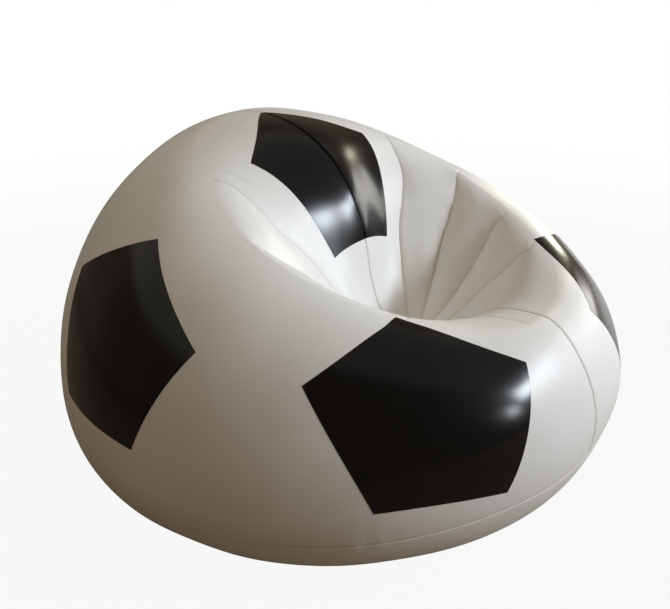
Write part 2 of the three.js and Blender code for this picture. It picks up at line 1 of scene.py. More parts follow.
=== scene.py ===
"""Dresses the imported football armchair: its inflated skin, printed pentagons, welds and air valve.

The chair stands on z = 0, its sitter faces -Y, and lengths are in metres. A place on the skin is a
turn round the chair, 0 at the front and 1 at the rear of the sitter's right half, and a station up
the meridian: 0 floor centre, 1 floor edge, 2 girth, 3 rim, 4 seat centre.
"""

from __future__ import annotations

import json
import logging
import math
from dataclasses import dataclass, field
from enum import Enum
from typing import Sequence

import bpy
import numpy as np
from mathutils import Matrix, Vector

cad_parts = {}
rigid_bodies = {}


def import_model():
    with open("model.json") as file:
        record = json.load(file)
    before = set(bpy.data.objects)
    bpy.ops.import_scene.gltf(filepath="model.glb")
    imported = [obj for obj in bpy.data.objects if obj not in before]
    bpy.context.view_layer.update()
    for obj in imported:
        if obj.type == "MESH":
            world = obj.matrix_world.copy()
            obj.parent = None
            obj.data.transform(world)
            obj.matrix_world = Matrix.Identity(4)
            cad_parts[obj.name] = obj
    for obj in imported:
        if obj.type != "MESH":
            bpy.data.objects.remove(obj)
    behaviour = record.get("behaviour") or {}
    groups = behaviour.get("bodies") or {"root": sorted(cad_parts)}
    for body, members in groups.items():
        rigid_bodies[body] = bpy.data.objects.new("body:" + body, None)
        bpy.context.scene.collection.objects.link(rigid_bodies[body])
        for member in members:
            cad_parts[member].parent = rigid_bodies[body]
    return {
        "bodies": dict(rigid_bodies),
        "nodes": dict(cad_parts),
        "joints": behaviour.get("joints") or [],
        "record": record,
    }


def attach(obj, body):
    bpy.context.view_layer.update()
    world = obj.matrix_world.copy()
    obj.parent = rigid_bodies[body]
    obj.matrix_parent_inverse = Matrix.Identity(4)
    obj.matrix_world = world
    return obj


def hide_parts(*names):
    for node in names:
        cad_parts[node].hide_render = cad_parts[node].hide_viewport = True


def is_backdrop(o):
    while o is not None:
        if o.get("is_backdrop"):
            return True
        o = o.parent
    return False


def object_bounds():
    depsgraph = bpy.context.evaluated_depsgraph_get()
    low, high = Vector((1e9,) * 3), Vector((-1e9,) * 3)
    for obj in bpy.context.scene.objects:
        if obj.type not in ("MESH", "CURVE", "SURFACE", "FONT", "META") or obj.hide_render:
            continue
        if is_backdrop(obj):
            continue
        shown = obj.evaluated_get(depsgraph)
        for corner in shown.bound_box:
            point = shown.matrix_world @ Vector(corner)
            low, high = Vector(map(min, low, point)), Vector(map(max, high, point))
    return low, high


LOG = logging.getLogger("armchair")
MM = 0.001
WHITE = (1.0, 1.0, 1.0, 1.0)
FLOOR_EDGE = 1.0
GIRTH = 2.0
RIM = 3.0
FAR = 9.0
TINY = 1e-12

Array = np.ndarray
Pair = tuple[float, float]
Triple = tuple[float, float, float]
Quad = tuple[float, float, float, float]
Piece = bpy.types.Object
Node = bpy.types.Node
Socket = bpy.types.NodeSocket
Tree = bpy.types.NodeTree


class Slot(Enum):
    """The record's material slots that new pieces take their finish from."""

    SKIN = "white_pvc"
    PRINT = "black_print"
    WEB = "inner_pvc"
    VALVE = "valve_pvc"
    SEAL = "seal_rubber"


class Side(Enum):
    """A half of the chair, as the sign of its turns."""

    RIGHT = 1
    LEFT = -1


def unit(vectors: Array) -> Array:
    """Vectors along the last axis, each made one long."""
    return vectors / np.maximum(np.linalg.norm(vectors, axis=-1, keepdims=True), TINY)


def smooth(value: Array, low: float, high: float) -> Array:
    """A smooth rise from 0 at low to 1 at high."""
    share = np.clip((value - low) / (high - low), 0.0, 1.0)
    return share * share * (3.0 - 2.0 * share)


def heading(turn: float, rise: float = 0.0) -> Vector:
    """The way out from the chair, in degrees round it from its front and degrees up."""
    turn, rise = math.radians(turn), math.radians(rise)
    return Vector((math.sin(turn) * math.cos(rise), -math.cos(turn) * math.cos(rise), math.sin(rise)))


def bezier(first: Array, second: Array, third: Array, last: Array, share: Array) -> Array:
    """Points of cubic curves, given their four control points and a share along each."""
    near, far = (1.0 - share)[..., None], share[..., None]
    return near**3 * first + 3 * near**2 * far * second + 3 * near * far**2 * third + far**3 * last


@dataclass(frozen=True)
class RingValue:
    """A value that runs smoothly round the chair, from its front over its side to its rear."""

    front: float
    side: float
    rear: float

    def at(self, angle: Array) -> Array:
        """The value at an angle from the front.

        Args:
            angle: Turns round the chair in radians.

        Returns:
            One value for each.
        """
        cosine = np.cos(angle)
        mean = (self.front + self.rear) / 2
        return self.side + (self.front - self.rear) / 2 * cosine + (mean - self.side) * cosine**2


@dataclass(frozen=True)
class SkinFrame:
    """Points of the plain skin, with unit ways out of it and up it.

    Attributes:
        place: The points.
        outward: The ways out of the skin.
        up: The ways up its meridians.
        reach: Metres round the chair for each radian of turn.
    """

    place: Array
    outward: Array
    up: Array
    reach: Array


@dataclass(frozen=True)
class ChairForm:
    """The inflated form without its creases, as meridian curves through four rings.

    Attributes:
        rim_forward: How far the rim's middle lies before the chair's.
        seat_forward: How far the bowl's lowest point lies before it.
        floor_handle: How far a curve runs level from the floor edge, as a share of the way out.
        under_girth_handle: How far it drops below the girth, as a share of the girth's height.
        over_girth_handle: How far it climbs above it, as a share of the way up to the rim.
        under_rim_handle: How far it runs level outside the rim, as a share of the way to the girth.
        lip_handle: How far it runs level inside the rim, as a share of the way to the seat.
        seat_handle: How far it runs level from the seat, as a share of the way to the rim.
        step: The small change of angle or station that slopes are taken over.
    """

    width: float
    depth: float
    floor_radius: float = 0.379
    girth_height: RingValue = RingValue(0.173, 0.163, 0.254)
    rim_width: float = 0.612
    rim_depth: float = 0.640
    rim_forward: float = 0.072
    rim_height: RingValue = RingValue(0.343, 0.461, 0.605)
    seat_forward: float = 0.151
    seat_height: float = 0.234
    floor_handle: float = 0.569
    under_girth_handle: float = 0.483
    over_girth_handle: RingValue = RingValue(0.391, 0.534, 0.497)
    under_rim_handle: RingValue = RingValue(0.507, 0.537, 0.468)
    lip_handle: RingValue = RingValue(0.539, 0.158, 0.94)
    seat_handle: RingValue = RingValue(0.364, 0.369, 0.466)
    step: float = 1e-4

    def keys(self, angle: Array) -> tuple[Array, Array, Array, Array]:
        """The floor edge, girth, rim and seat centre of each meridian.

        Args:
            angle: The turns of the meridians in radians.

        Returns:
            The four rings of points.
        """
        east, north = -np.sin(angle), -np.cos(angle)
        flat, level = np.zeros_like(angle), np.ones_like(angle)
        floor = np.stack([east * self.floor_radius, north * self.floor_radius, flat], -1)
        girth = np.stack([east * self.width / 2, north * self.depth / 2, self.girth_height.at(angle)], -1)
        rim_north = north * self.rim_depth / 2 - self.rim_forward
        rim = np.stack([east * self.rim_width / 2, rim_north, self.rim_height.at(angle)], -1)
        seat = np.stack([flat, -self.seat_forward * level, self.seat_height * level], -1)
        return floor, girth, rim, seat

    @staticmethod
    def level_towards(start: Array, end: Array, share: Array | float) -> Array:
        """A point moved level by a share of the way to another.

        Args:
            start: The points to move.
            end: The points that they move to.
            share: How far they go.

        Returns:
            The moved points, as high as before.
        """
        moved = start + (end - start) * np.asarray(share)[..., None]
        moved[..., 2] = start[..., 2]
        return moved

    def point(self, angle: Array | float, station: Array | float) -> Array:
        """Points of the plain form.

        Args:
            angle: Turns round the chair in radians, positive on the sitter's right.
            station: Stations up the meridian, from 0 to 4.

        Returns:
            One point for each pair, along the last axis.
        """
        angle, station = np.broadcast_arrays(np.asarray(angle, float), np.asarray(station, float))
        floor, girth, rim, seat = self.keys(angle)
        drop, lift = girth.copy(), girth.copy()
        drop[..., 2] *= 1.0 - self.under_girth_handle
        lift[..., 2] += (rim[..., 2] - girth[..., 2]) * self.over_girth_handle.at(angle)
        low = self.level_towards(floor, girth, self.floor_handle)
        shoulder = self.level_towards(rim, girth, self.under_rim_handle.at(angle))
        lip = self.level_towards(rim, seat, self.lip_handle.at(angle))
        hollow = self.level_towards(seat, rim, self.seat_handle.at(angle))
        under = bezier(floor, low, drop, girth, station - FLOOR_EDGE)
        over = bezier(girth, lift, shoulder, rim, station - GIRTH)
        bowl = bezier(rim, lip, hollow, seat, station - RIM)
        row = station[..., None]
        outside = np.where(row < GIRTH, under, np.where(row < RIM, over, bowl))
        return np.where(row <= FLOOR_EDGE, floor * row, outside)

    def frame(self, angle: Array | float, station: Array | float) -> SkinFrame:
        """The plain form's points with the ways out of it and up it.

        Args:
            angle: Turns round the chair in radians.
            station: Stations up the meridian.

        Returns:
            The frame at each place.
        """
        angle, station = np.broadcast_arrays(np.asarray(angle, float), np.asarray(station, float))
        along = self.point(angle, station + self.step) - self.point(angle, station - self.step)
        across = self.point(angle + self.step, station) - self.point(angle - self.step, station)
        outward = unit(np.cross(along, across))
        reach = np.linalg.norm(across, axis=-1) / (2 * self.step)
        place = self.point(angle, station)
        return SkinFrame(place, outward, unit(np.cross(across, outward)), reach)

    def across_bowl(self, angle: Array) -> Array:
        """The level way round, square to the upright plane of a meridian's bowl stretch.

        Args:
            angle: Turns round the chair in radians.

        Returns:
            One unit vector for each.
        """
        _, _, rim, seat = self.keys(angle)
        level = np.zeros_like(angle)
        return unit(np.stack([rim[..., 1] - seat[..., 1], seat[..., 0] - rim[..., 0], level], -1))


@dataclass(frozen=True)
class PlaneWaves:
    """A gentle, seeded unevenness of the skin, as a sum of plane waves through space.

    Attributes:
        length: The waves' length in metres.
        spread: The least and greatest share of that length that a wave has.
    """

    seed: int
    length: float
    count: int = 14
    spread: Pair = (0.7, 1.5)

    def at(self, place: Array) -> Array:
        """The height of the waves at each place, mostly within -1 to 1.

        Args:
            place: Points in the chair.

        Returns:
            One height for each.
        """
        draw = np.random.default_rng(self.seed)
        ways = unit(draw.normal(size=(self.count, 3)))
        rates = 2 * math.pi / (self.length * draw.uniform(*self.spread, self.count))
        phases = draw.uniform(0, 2 * math.pi, self.count)
        total = np.zeros(place.shape[:-1])
        for way, rate, phase in zip(ways, rates, phases):
            total += np.sin(place @ way * rate + phase)
        return total / math.sqrt(self.count)


@dataclass(frozen=True)
class SeamPuckers:
    """Small seeded folds square to a seam, as a sum of waves along it.

    Attributes:
        least: The fewest waves in one unit along the seam.
        most: The most waves in one unit along it.
    """

    seed: int
    least: int
    most: int
    count: int = 9

    def at(self, along: Array) -> Array:
        """The height of the folds at each place along the seam, mostly within -1 to 1.

        Args:
            along: Places along the seam, in its own units.

        Returns:
            One height for each.
        """
        draw = np.random.default_rng(self.seed)
        rates = draw.integers(self.least, self.most, self.count)
        phases = draw.uniform(0, 2 * math.pi, self.count)
        total = np.zeros(along.shape)
        for rate, phase in zip(rates, phases):
            total += np.cos(2 * math.pi * rate * along + phase)
        return total / math.sqrt(self.count)


@dataclass(frozen=True)
class Fold:
    """A short soft fold between two places on the skin.

    Attributes:
        width: How far from its line the fold's depth falls to a third.
        bank: How high the banks stand, against the depth.
        fade_in: The shares of its length between which it sets in.
        fade_out: The shares of its length between which it ends.
    """

    start: Pair
    end: Pair
    depth: float
    width: float
    bank: float = 1.2
    fade_in: Pair = (-0.35, 0.3)
    fade_out: Pair = (0.7, 1.35)

    def at(self, turn: Array, station: Array, reach: Array, station_length: float) -> Array:
        """The fold's height at each place: a hollow with low banks, fading out at both ends.

        Args:
            turn: Turns round the chair.
            station: Stations up the meridian.
            reach: Metres round the chair for each radian of turn.
            station_length: Metres for each station.

        Returns:
            One height for each place, in metres.
        """
        (first_turn, first_station), (last_turn, last_station) = self.start, self.end
        rise = (station - first_station) * station_length
        across = np.stack([(turn - first_turn) * math.pi * reach, rise])
        rise = np.full_like(reach, (last_station - first_station) * station_length)
        run = np.stack([(last_turn - first_turn) * math.pi * reach, rise])
        length = np.maximum(np.linalg.norm(run, axis=0), TINY)
        share = np.sum(across * run, axis=0) / length**2
        off = np.linalg.norm(across - run * np.clip(share, 0.0, 1.0), axis=0) / self.width
        faded = smooth(share, *self.fade_in) * (1.0 - smooth(share, *self.fade_out))
        return -self.depth * (1.0 - self.bank * off**2) * np.exp(-(off**2)) * faded


@dataclass(frozen=True)
class Relief:
    """What stands over or sinks under the plain form: lobes, creases, weld grooves and puckers.

    Attributes:
        base_seam: The station of the seam between the bottom panel and the walls.
        sag: The stations between which the sheet leaves the flat floor and takes on relief.
        crease_turns: The turn of each crease, the same on both halves.
        crease_starts: The station at which each crease sets in.
        crease_strengths: How strongly each crease shows.
        crease_bows: How far each crease wanders off its turn.
        crease_reach: How many stations a crease takes to grow to its full depth.
        crease_fade: The stations between which the creases end.
        bow_stations: The stations between which a crease swings off its turn and back.
        bow_lead: How many stations before the first of them the swing sets in.
        bow_fade: The stations between which it ends.
        bow_middle: The swing's mean, which sets it to one side of the turn.
        bow_spread: How far from a crease its swing still moves the sheet, in turns.
        back_seam_bow: How far the middle seam swings to either side over the back, in turns.
        widest_fold: The widest half lobe beside the first and the last crease, in turns.
        lobe_puff: How far a lobe swells between its creases.
        weld_step: The height of the weld's shoulder beside a crease.
        seam_fall: How steeply a seam's groove falls off beside it.
        pucker_heights: The height of the folds at the middle seam, the base seam and a crease.
        pucker_start: The stations between which the folds beside a crease set in.
        pucker_shift: How far the front seam's folds are moved up and the rear seam's down.
        group_mean: How strongly the folds show on average, where they come in groups.
        group_swing: How much more or less they show from group to group.
        group_most: The most that they show.
        station_step: The stations over which the base seam's slope is taken.
        dimple_start: How many stations past a crease's start its crescent folds are centred.
        dimple_reach: How far from there they reach.
        dimple_length: Metres from one crescent fold to the next.
        station_length: Metres for each station, near enough for the small folds.
    """

    form: ChairForm
    base_seam: float = 1.8
    sag: Pair = (1.05, 1.5)
    crease_turns: tuple[float, ...] = (0.267, 0.389, 0.517, 0.666)
    crease_starts: tuple[float, ...] = (3.08, 3.1, 2.98, 3.02)
    crease_strengths: tuple[float, ...] = (0.6, 0.85, 1.0, 1.0)
    crease_bows: tuple[float, ...] = (0.004, -0.003, 0.004, 0.015)
    crease_depth: float = 0.0105
    crease_reach: float = 0.27
    crease_fade: Pair = (3.6, 3.86)
    bow_stations: Pair = (3.02, 3.55)
    bow_lead: float = 0.12
    bow_fade: Pair = (3.62, 3.86)
    bow_middle: float = 0.45
    bow_spread: float = 0.07
    back_seam_bow: float = 0.016
    back_seam_stations: Pair = (3.04, 3.66)
    back_seam_spread: float = 0.16
    widest_fold: float = 0.1
    lobe_puff: float = 0.0055
    weld_step: float = 0.001
    weld_reach: float = 0.0026
    seam_depth: float = 0.0016
    seam_reach: float = 0.0017
    seam_fall: float = 1.3
    pucker_heights: Triple = (0.00016, 0.0004, 0.0005)
    pucker_reach: float = 0.02
    pucker_start: Pair = (3.0, 3.1)
    pucker_shift: float = 0.31
    group_mean: float = 0.55
    group_swing: float = 0.6
    group_most: float = 1.2
    dimple_height: float = 0.00018
    dimple_start: float = 0.04
    dimple_reach: float = 0.032
    dimple_length: float = 0.019
    station_length: float = 0.3
    station_step: float = 0.01
    wave_height: float = 0.0012
    waves: PlaneWaves = PlaneWaves(seed=65, length=0.21)
    groups: PlaneWaves = PlaneWaves(seed=37, length=0.13)
    base_puckers: SeamPuckers = SeamPuckers(seed=5, least=50, most=115)
    upright_puckers: SeamPuckers = SeamPuckers(seed=8, least=5, most=11)
    soft_folds: tuple[Fold, ...] = (
        Fold((0.05, 2.98), (0.1, 3.26), depth=0.0011, width=0.009),
        Fold((-0.16, 3.04), (-0.13, 3.34), depth=0.0008, width=0.012),
        Fold((0.2, 3.1), (0.17, 3.36), depth=0.0008, width=0.012),
        Fold((-0.6, 3.04), (-0.585, 3.13), depth=0.0005, width=0.008),
        Fold((0.71, 3.02), (0.7, 3.16), depth=0.0006, width=0.01),
        Fold((0.012, 1.9), (0.016, 2.02), depth=0.0006, width=0.006),
        Fold((-0.02, 1.86), (-0.03, 2.0), depth=0.0006, width=0.006),
    )

    def crease(self, angle: Array, station: Array) -> tuple[Array, Array, Array]:
        """Where the creases are.

        Args:
            angle: Turns round the chair in radians.
            station: Stations up the meridian.

        Returns:
            The share of a crease's depth, the share of a lobe's swell, and the radians to the
            nearest crease line, each at every place.
        """
        turn = np.abs(np.arctan2(np.sin(angle), np.cos(angle))) / math.pi
        stops = self.crease_turns
        depth, swell = np.zeros_like(turn), np.zeros_like(turn)
        nearest = np.full_like(turn, FAR)
        for i, crease in enumerate(stops):
            below = crease - stops[i - 1] if i else 2 * min(crease, self.widest_fold)
            above = stops[i + 1] - crease if i + 1 < len(stops) else 2 * min(1 - crease, self.widest_fold)
            half = np.where(turn < crease, below / 2, above / 2)
            away = np.abs(turn - crease)
            share = np.clip(away / half, 0.0, 1.0)
            start = self.crease_starts[i]
            grown = smooth(station, start, start + self.crease_reach)
            grown = grown * (1.0 - smooth(station, *self.crease_fade)) * self.crease_strengths[i]
            depth = np.maximum(depth, grown * (1.0 - share) ** 2)
            swell = np.maximum(swell, grown * (1.0 - (1.0 - share) ** 2) * (share < 1.0))
            swell = np.maximum(swell, grown * (share >= 1.0))
            nearest = np.where(station > start, np.minimum(nearest, away * math.pi), nearest)
        return depth, swell, nearest

    def wander(self, angle: Array, station: Array) -> Array:
        """Angles moved so that each crease bows a little off its meridian.

        Args:
            angle: Turns round the chair in radians.
            station: Stations up the meridian.

        Returns:
            The moved angles.
        """
        turn = np.abs(angle) / math.pi
        start, end = self.bow_stations
        swing = self.bow_middle + np.cos(2 * math.pi * np.clip((station - start) / (end - start), 0.0, 1.0))
        swing = swing * smooth(station, start - self.bow_lead, start)
        swing = swing * (1.0 - smooth(station, *self.bow_fade))
        offset = np.zeros_like(turn)
        for crease, bow in zip(self.crease_turns, self.crease_bows):
            offset += bow * swing * (1.0 - smooth(np.abs(turn - crease), 0.0, self.bow_spread))
        low, high = self.back_seam_stations
        share = np.clip((station - low) / (high - low), 0.0, 1.0)
        near = smooth(turn, 1.0 - self.back_seam_spread, 1.0)
        seam = self.back_seam_bow * np.sin(2 * math.pi * share) * near
        return angle + (np.sign(angle) * offset - seam) * math.pi

    def dimples(self, angle: Array, station: Array, reach: Array) -> Array:
        """The crescent folds where each crease sets in, mostly within -1 to 1.

        Args:
            angle: Turns round the chair in radians.
            station: Stations up the meridian.
            reach: Metres round the chair for each radian of turn.

        Returns:
            One height for each place.
        """
        turn = np.abs(angle) / math.pi
        total = np.zeros_like(turn)
        for crease, start in zip(self.crease_turns, self.crease_starts):
            across = (turn - crease) * math.pi * reach
            along = (station - start - self.dimple_start) * self.station_length
            away = np.hypot(across, along) / self.dimple_reach
            wave = np.cos(2 * math.pi * (along + across**2 / (2 * self.dimple_reach)) / self.dimple_length)
            total += np.exp(-(away**2)) * wave
        return total

    def folds(
        self, angle: Array, station: Array, frame: SkinFrame, gaps: tuple[Array, Array, Array]
    ) -> Array:
        """The height of the small folds beside the seams and creases.

        Args:
            angle: Turns round the chair in radians.
            station: Stations up the meridian.
            frame: The plain form at those places.
            gaps: Metres to the middle seam, the base seam and the nearest crease.

        Returns:
            The height at each place in metres.
        """
        upright = self.upright_puckers.at(station + np.sign(np.cos(angle)) * self.pucker_shift)
        along = self.base_puckers.at(angle / (2 * math.pi))
        middle, base, crease = (np.exp(-gap / self.pucker_reach) for gap in gaps)
        tall, low, small = self.pucker_heights
        grouped = self.group_mean + self.group_swing * self.groups.at(frame.place)
        grouped = np.clip(grouped, 0.0, self.group_most)
        puckers = tall * middle * upright + low * base * along
        puckers = puckers + small * crease * upright * smooth(station, *self.pucker_start)
        height = puckers * grouped + self.dimple_height * self.dimples(angle, station, frame.reach)
        for fold in self.soft_folds:
            turn = angle / math.pi
            turn = np.where(turn > fold.start[0] + 1.0, turn - 2.0, turn)
            turn = np.where(turn < fold.start[0] - 1.0, turn + 2.0, turn)
            height = height + fold.at(turn, station, frame.reach, self.station_length)
        return height

    def seam_distance(self, angle: Array, station: Array, frame: SkinFrame) -> tuple[Array, Array, Array]:
        """Metres to the middle seam, to the base seam and to the nearest crease's weld.

        The bottom panel is one piece, so the middle seam is far from all of it.

        Args:
            angle: Turns round the chair in radians.
            station: Stations up the meridian.
            frame: The plain form at those places.

        Returns:
            The three distances at each place.
        """
        middle = np.abs(np.arcsin(np.clip(np.sin(angle), -1, 1))) * frame.reach
        middle = np.where(station < self.base_seam - TINY, FAR, middle)
        lower = self.form.point(angle, self.base_seam)
        upper = self.form.point(angle, self.base_seam + self.station_step)
        length = np.linalg.norm(upper - lower, axis=-1) / self.station_step
        base = np.abs(station - self.base_seam) * length
        _, _, nearest = self.crease(angle, station)
        return middle, base, nearest * frame.reach

    def place(self, angle: Array | float, station: Array | float, height: Array | float = 0.0) -> Array:
        """Points of the finished skin.

        Args:
            angle: Turns round the chair in radians.
            station: Stations up the meridian.
            height: How far over the skin's outer face the points lie.

        Returns:
            One point for each place, along the last axis.
        """
        angle, station = np.broadcast_arrays(np.asarray(angle, float), np.asarray(station, float))
        frame = self.form.frame(self.wander(angle, station), station)
        gaps = self.seam_distance(angle, station, frame)
        middle, base, weld = gaps
        depth, swell, _ = self.crease(angle, station)
        lifted = smooth(station, *self.sag)
        across = self.form.across_bowl(angle)
        sink = unit(frame.outward - across * np.sum(frame.outward * across, -1, keepdims=True))
        groove = sum(np.exp(-((gap / self.seam_reach) ** self.seam_fall)) for gap in (middle, base))
        rise = self.wave_height * self.waves.at(frame.place) * (1.0 - depth)
        rise = rise + self.folds(angle, station, frame, gaps)
        rise = rise + self.lobe_puff * swell + self.weld_step * (1.0 - np.exp(-weld / self.weld_reach))
        rise = rise - self.seam_depth * groove
        place = frame.place + frame.outward * (rise * lifted + height)[..., None]
        return place - sink * (self.crease_depth * depth)[..., None]


@dataclass(frozen=True)
class ValvePlace:
    """The valve's own frame: z out of the chair from the skin's outer face, y along the cap's hinge."""

    centre: Vector
    along: Vector
    across: Vector
    outward: Vector

    @staticmethod
    def of(joints: Sequence[dict]) -> ValvePlace:
        """Reads the frame from the joints of the insert and the cap.

        Args:
            joints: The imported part's joints.

        Returns:
            The valve's place.
        """
        named = {joint["name"]: joint for joint in joints}
        outward = Vector(named["insert_unscrew"]["axis"]).normalized()
        across = -Vector(named["cap_open"]["axis"]).normalized()
        return ValvePlace(Vector(named["insert_unscrew"]["pos_m"]), across.cross(outward), across, outward)

    def matrix(self) -> Matrix:
        """Turns valve places into chair places."""
        turn = Matrix((self.along, self.across, self.outward)).transposed()
        return Matrix.Translation(self.centre) @ turn.to_4x4()


class SheetMesh:
    """Collects a thin closed body: an outer and an inner face, with a wall along every open edge."""

    def __init__(self) -> None:
        """Starts with no points and no faces."""
        self.outer: list[Array] = []
        self.inner: list[Array] = []
        self.faces: list[tuple[int, ...]] = []
        self.count = 0

    def points(self, outer: Array, inner: Array) -> Array:
        """Adds points and returns their numbers, in the shape that they came in.

        Args:
            outer: Points of the outer face.
            inner: The points under them.

        Returns:
            The outer points' numbers.
        """
        shape = outer.shape[:-1]
        self.outer.append(outer.reshape(-1, 3))
        self.inner.append(inner.reshape(-1, 3))
        numbers = np.arange(self.count, self.count + self.outer[-1].shape[0]).reshape(shape)
        self.count += numbers.size
        return numbers

    def grid(self, numbers: Array, keep: Array | None = None) -> None:
        """Adds a grid's faces, whose rows run up and whose columns run round the chair.

        Args:
            numbers: The points' numbers in rows and columns.
            keep: Which of the cells to add, if not all.
        """
        corners = [numbers[:-1, :-1], numbers[1:, :-1], numbers[1:, 1:], numbers[:-1, 1:]]
        quads = np.stack(corners, -1).reshape(-1, 4)
        if keep is not None:
            quads = quads[keep.reshape(-1)]
        self.faces.extend(map(tuple, quads.tolist()))

    def tube(self, numbers: Array) -> None:
        """Adds the faces of rows that run all the way round."""
        self.grid(np.concatenate([numbers, numbers[:, :1]], axis=1))

    def fan(self, outer: Array, inner: Array, ring: Array) -> None:
        """Closes a ring of points on a new point of each face.

        Args:
            outer: The outer face's point.
            inner: The inner face's point.
            ring: The ring's numbers, clockwise seen from outside.
        """
        centre = self.points(outer[None], inner[None])[0]
        triangles = np.stack([np.full_like(ring, centre), np.roll(ring, -1), ring], -1)
        self.faces.extend(map(tuple, triangles.tolist()))

    def build(self, name: str, seam: Array | None = None) -> Piece:
        """Makes the object.

        Args:
            name: The piece's name.
            seam: The distance of each outer point to the nearest seam, for the finish.

        Returns:
            The new object, smooth all over.
        """
        edges = set()
        for face in self.faces:
            edges.update(zip(face, face[1:] + face[:1]))
        walls = [(b, a, self.count + a, self.count + b) for a, b in edges if (b, a) not in edges]
        backs = [tuple(self.count + point for point in reversed(face)) for face in self.faces]
        places = np.concatenate(self.outer + self.inner)
        used = sorted({point for face in self.faces for point in face})
        used += [self.count + point for point in used]
        renumber = {old: new for new, old in enumerate(used)}
        faces = [tuple(renumber[point] for point in face) for face in self.faces + backs + walls]
        mesh = bpy.data.meshes.new(name)
        mesh.from_pydata(places[used].tolist(), [], faces)
        mesh.polygons.foreach_set("use_smooth", [True] * len(mesh.polygons))
        if seam is not None:
            near = np.concatenate([seam, seam])[used].astype(np.float32)
            mesh.attributes.new("seam", "FLOAT", "POINT").data.foreach_set("value", near)
        mesh.update()
        return placed(name, mesh)


def placed(name: str, data: bpy.types.ID) -> Piece:
    """Puts a mesh, a lamp or a camera into the scene.

    Args:
        name: The name of its object.
        data: The mesh, lamp or camera.

    Returns:
        The new object.
    """
    made = bpy.data.objects.new(name, data)
    bpy.context.scene.collection.objects.link(made)
    return made


def clustered(stops: Sequence[float], near: Sequence[float], spacing: float) -> Array:
    """Values over a range that crowd beside chosen stops.

    Args:
        stops: The stops in rising order, the range's two ends included.
        near: Distances from a stop at which there is a value, in rising order.
        spacing: The widest step elsewhere.

    Returns:
        The values in rising order.
    """
    values: list[float] = []
    for low, high in zip(stops, stops[1:]):
        reach = [step for step in near if step < (high - low) / 2 - spacing / 2]
        start, end = low + reach[-1], high - reach[-1]
        count = max(1, round((end - start) / spacing))
        values += [low + step for step in reach]
        values += [start + (end - start) * step / count for step in range(1, count)]
        values += [high - step for step in reversed(reach[1:])]
    return np.array(values + [stops[-1]])


@dataclass
class GroupBuilder:
    """Lays out a shader node group with named sockets.

    Attributes:
        entry: The node that hands out the group's inputs.
        exit: The node that takes its outputs.
    """

    name: str
    tree: Tree = field(init=False)
    entry: Node = field(init=False)
    exit: Node = field(init=False)

    def __post_init__(self) -> None:
        """Makes the empty group with its input and output nodes."""
        self.tree = bpy.data.node_groups.new(self.name, "ShaderNodeTree")
        self.entry = self.tree.nodes.new("NodeGroupInput")
        self.exit = self.tree.nodes.new("NodeGroupOutput")

    def takes(self, name: str, kind: str = "NodeSocketFloat", value: float | None = None) -> None:
        """Adds a named input."""
        socket = self.tree.interface.new_socket(name, in_out="INPUT", socket_type=kind)
        if value is not None:
            socket.default_value = value

    def gives(self, name: str, source: Socket) -> None:
        """Adds a named value output, fed by a socket."""
        self.tree.interface.new_socket(name, in_out="OUTPUT", socket_type="NodeSocketFloat")
        self.tree.links.new(source, self.exit.inputs[name])

    def node(self, kind: str, **settings: object) -> Node:
        """Adds a node: a setting that names an input is put on it, or linked to it if it is a socket."""
        return add_node(self.tree, kind, **settings)

    def maths(self, operation: str, *values: Socket | float) -> Socket:
        """Adds one sum of values or sockets."""
        return add_maths(self.tree, operation, *values)


def add_node(tree: Tree, kind: str, **settings: object) -> Node:
    """Adds a node and sets it.

    Args:
        tree: The node tree.
        kind: The node's Blender type.
        settings: Properties of the node, or inputs by name with underscores for spaces.

    Returns:
        The node.
    """
    node = tree.nodes.new(kind)
    for key, value in settings.items():
        label = key.replace("_", " ")
        if hasattr(node, key):
            setattr(node, key, value)
        elif isinstance(value, Socket):
            tree.links.new(value, node.inputs[label])
        else:
            node.inputs[label].default_value = value
    return node


def fresh_tree(owner: bpy.types.Material | bpy.types.World) -> Tree:
    """A material's or world's node tree, emptied.

    Args:
        owner: The material or world.

    Returns:
        Its tree.
    """
    owner.use_nodes = True
    owner.node_tree.nodes.clear()
    return owner.node_tree


def add_maths(tree: Tree, operation: str, *values: object) -> Socket:
    """Adds a Math node on values or sockets and returns its result.

    Args:
        tree: The node tree.
        operation: What the node works out.
        values: Its inputs in order.

    Returns:
        Its result.
    """
    node = tree.nodes.new("ShaderNodeMath")
    node.operation = operation
    for socket, value in zip(node.inputs, values):
        if isinstance(value, Socket):
            tree.links.new(value, socket)
        else:
            socket.default_value = value
    return node.outputs[0]


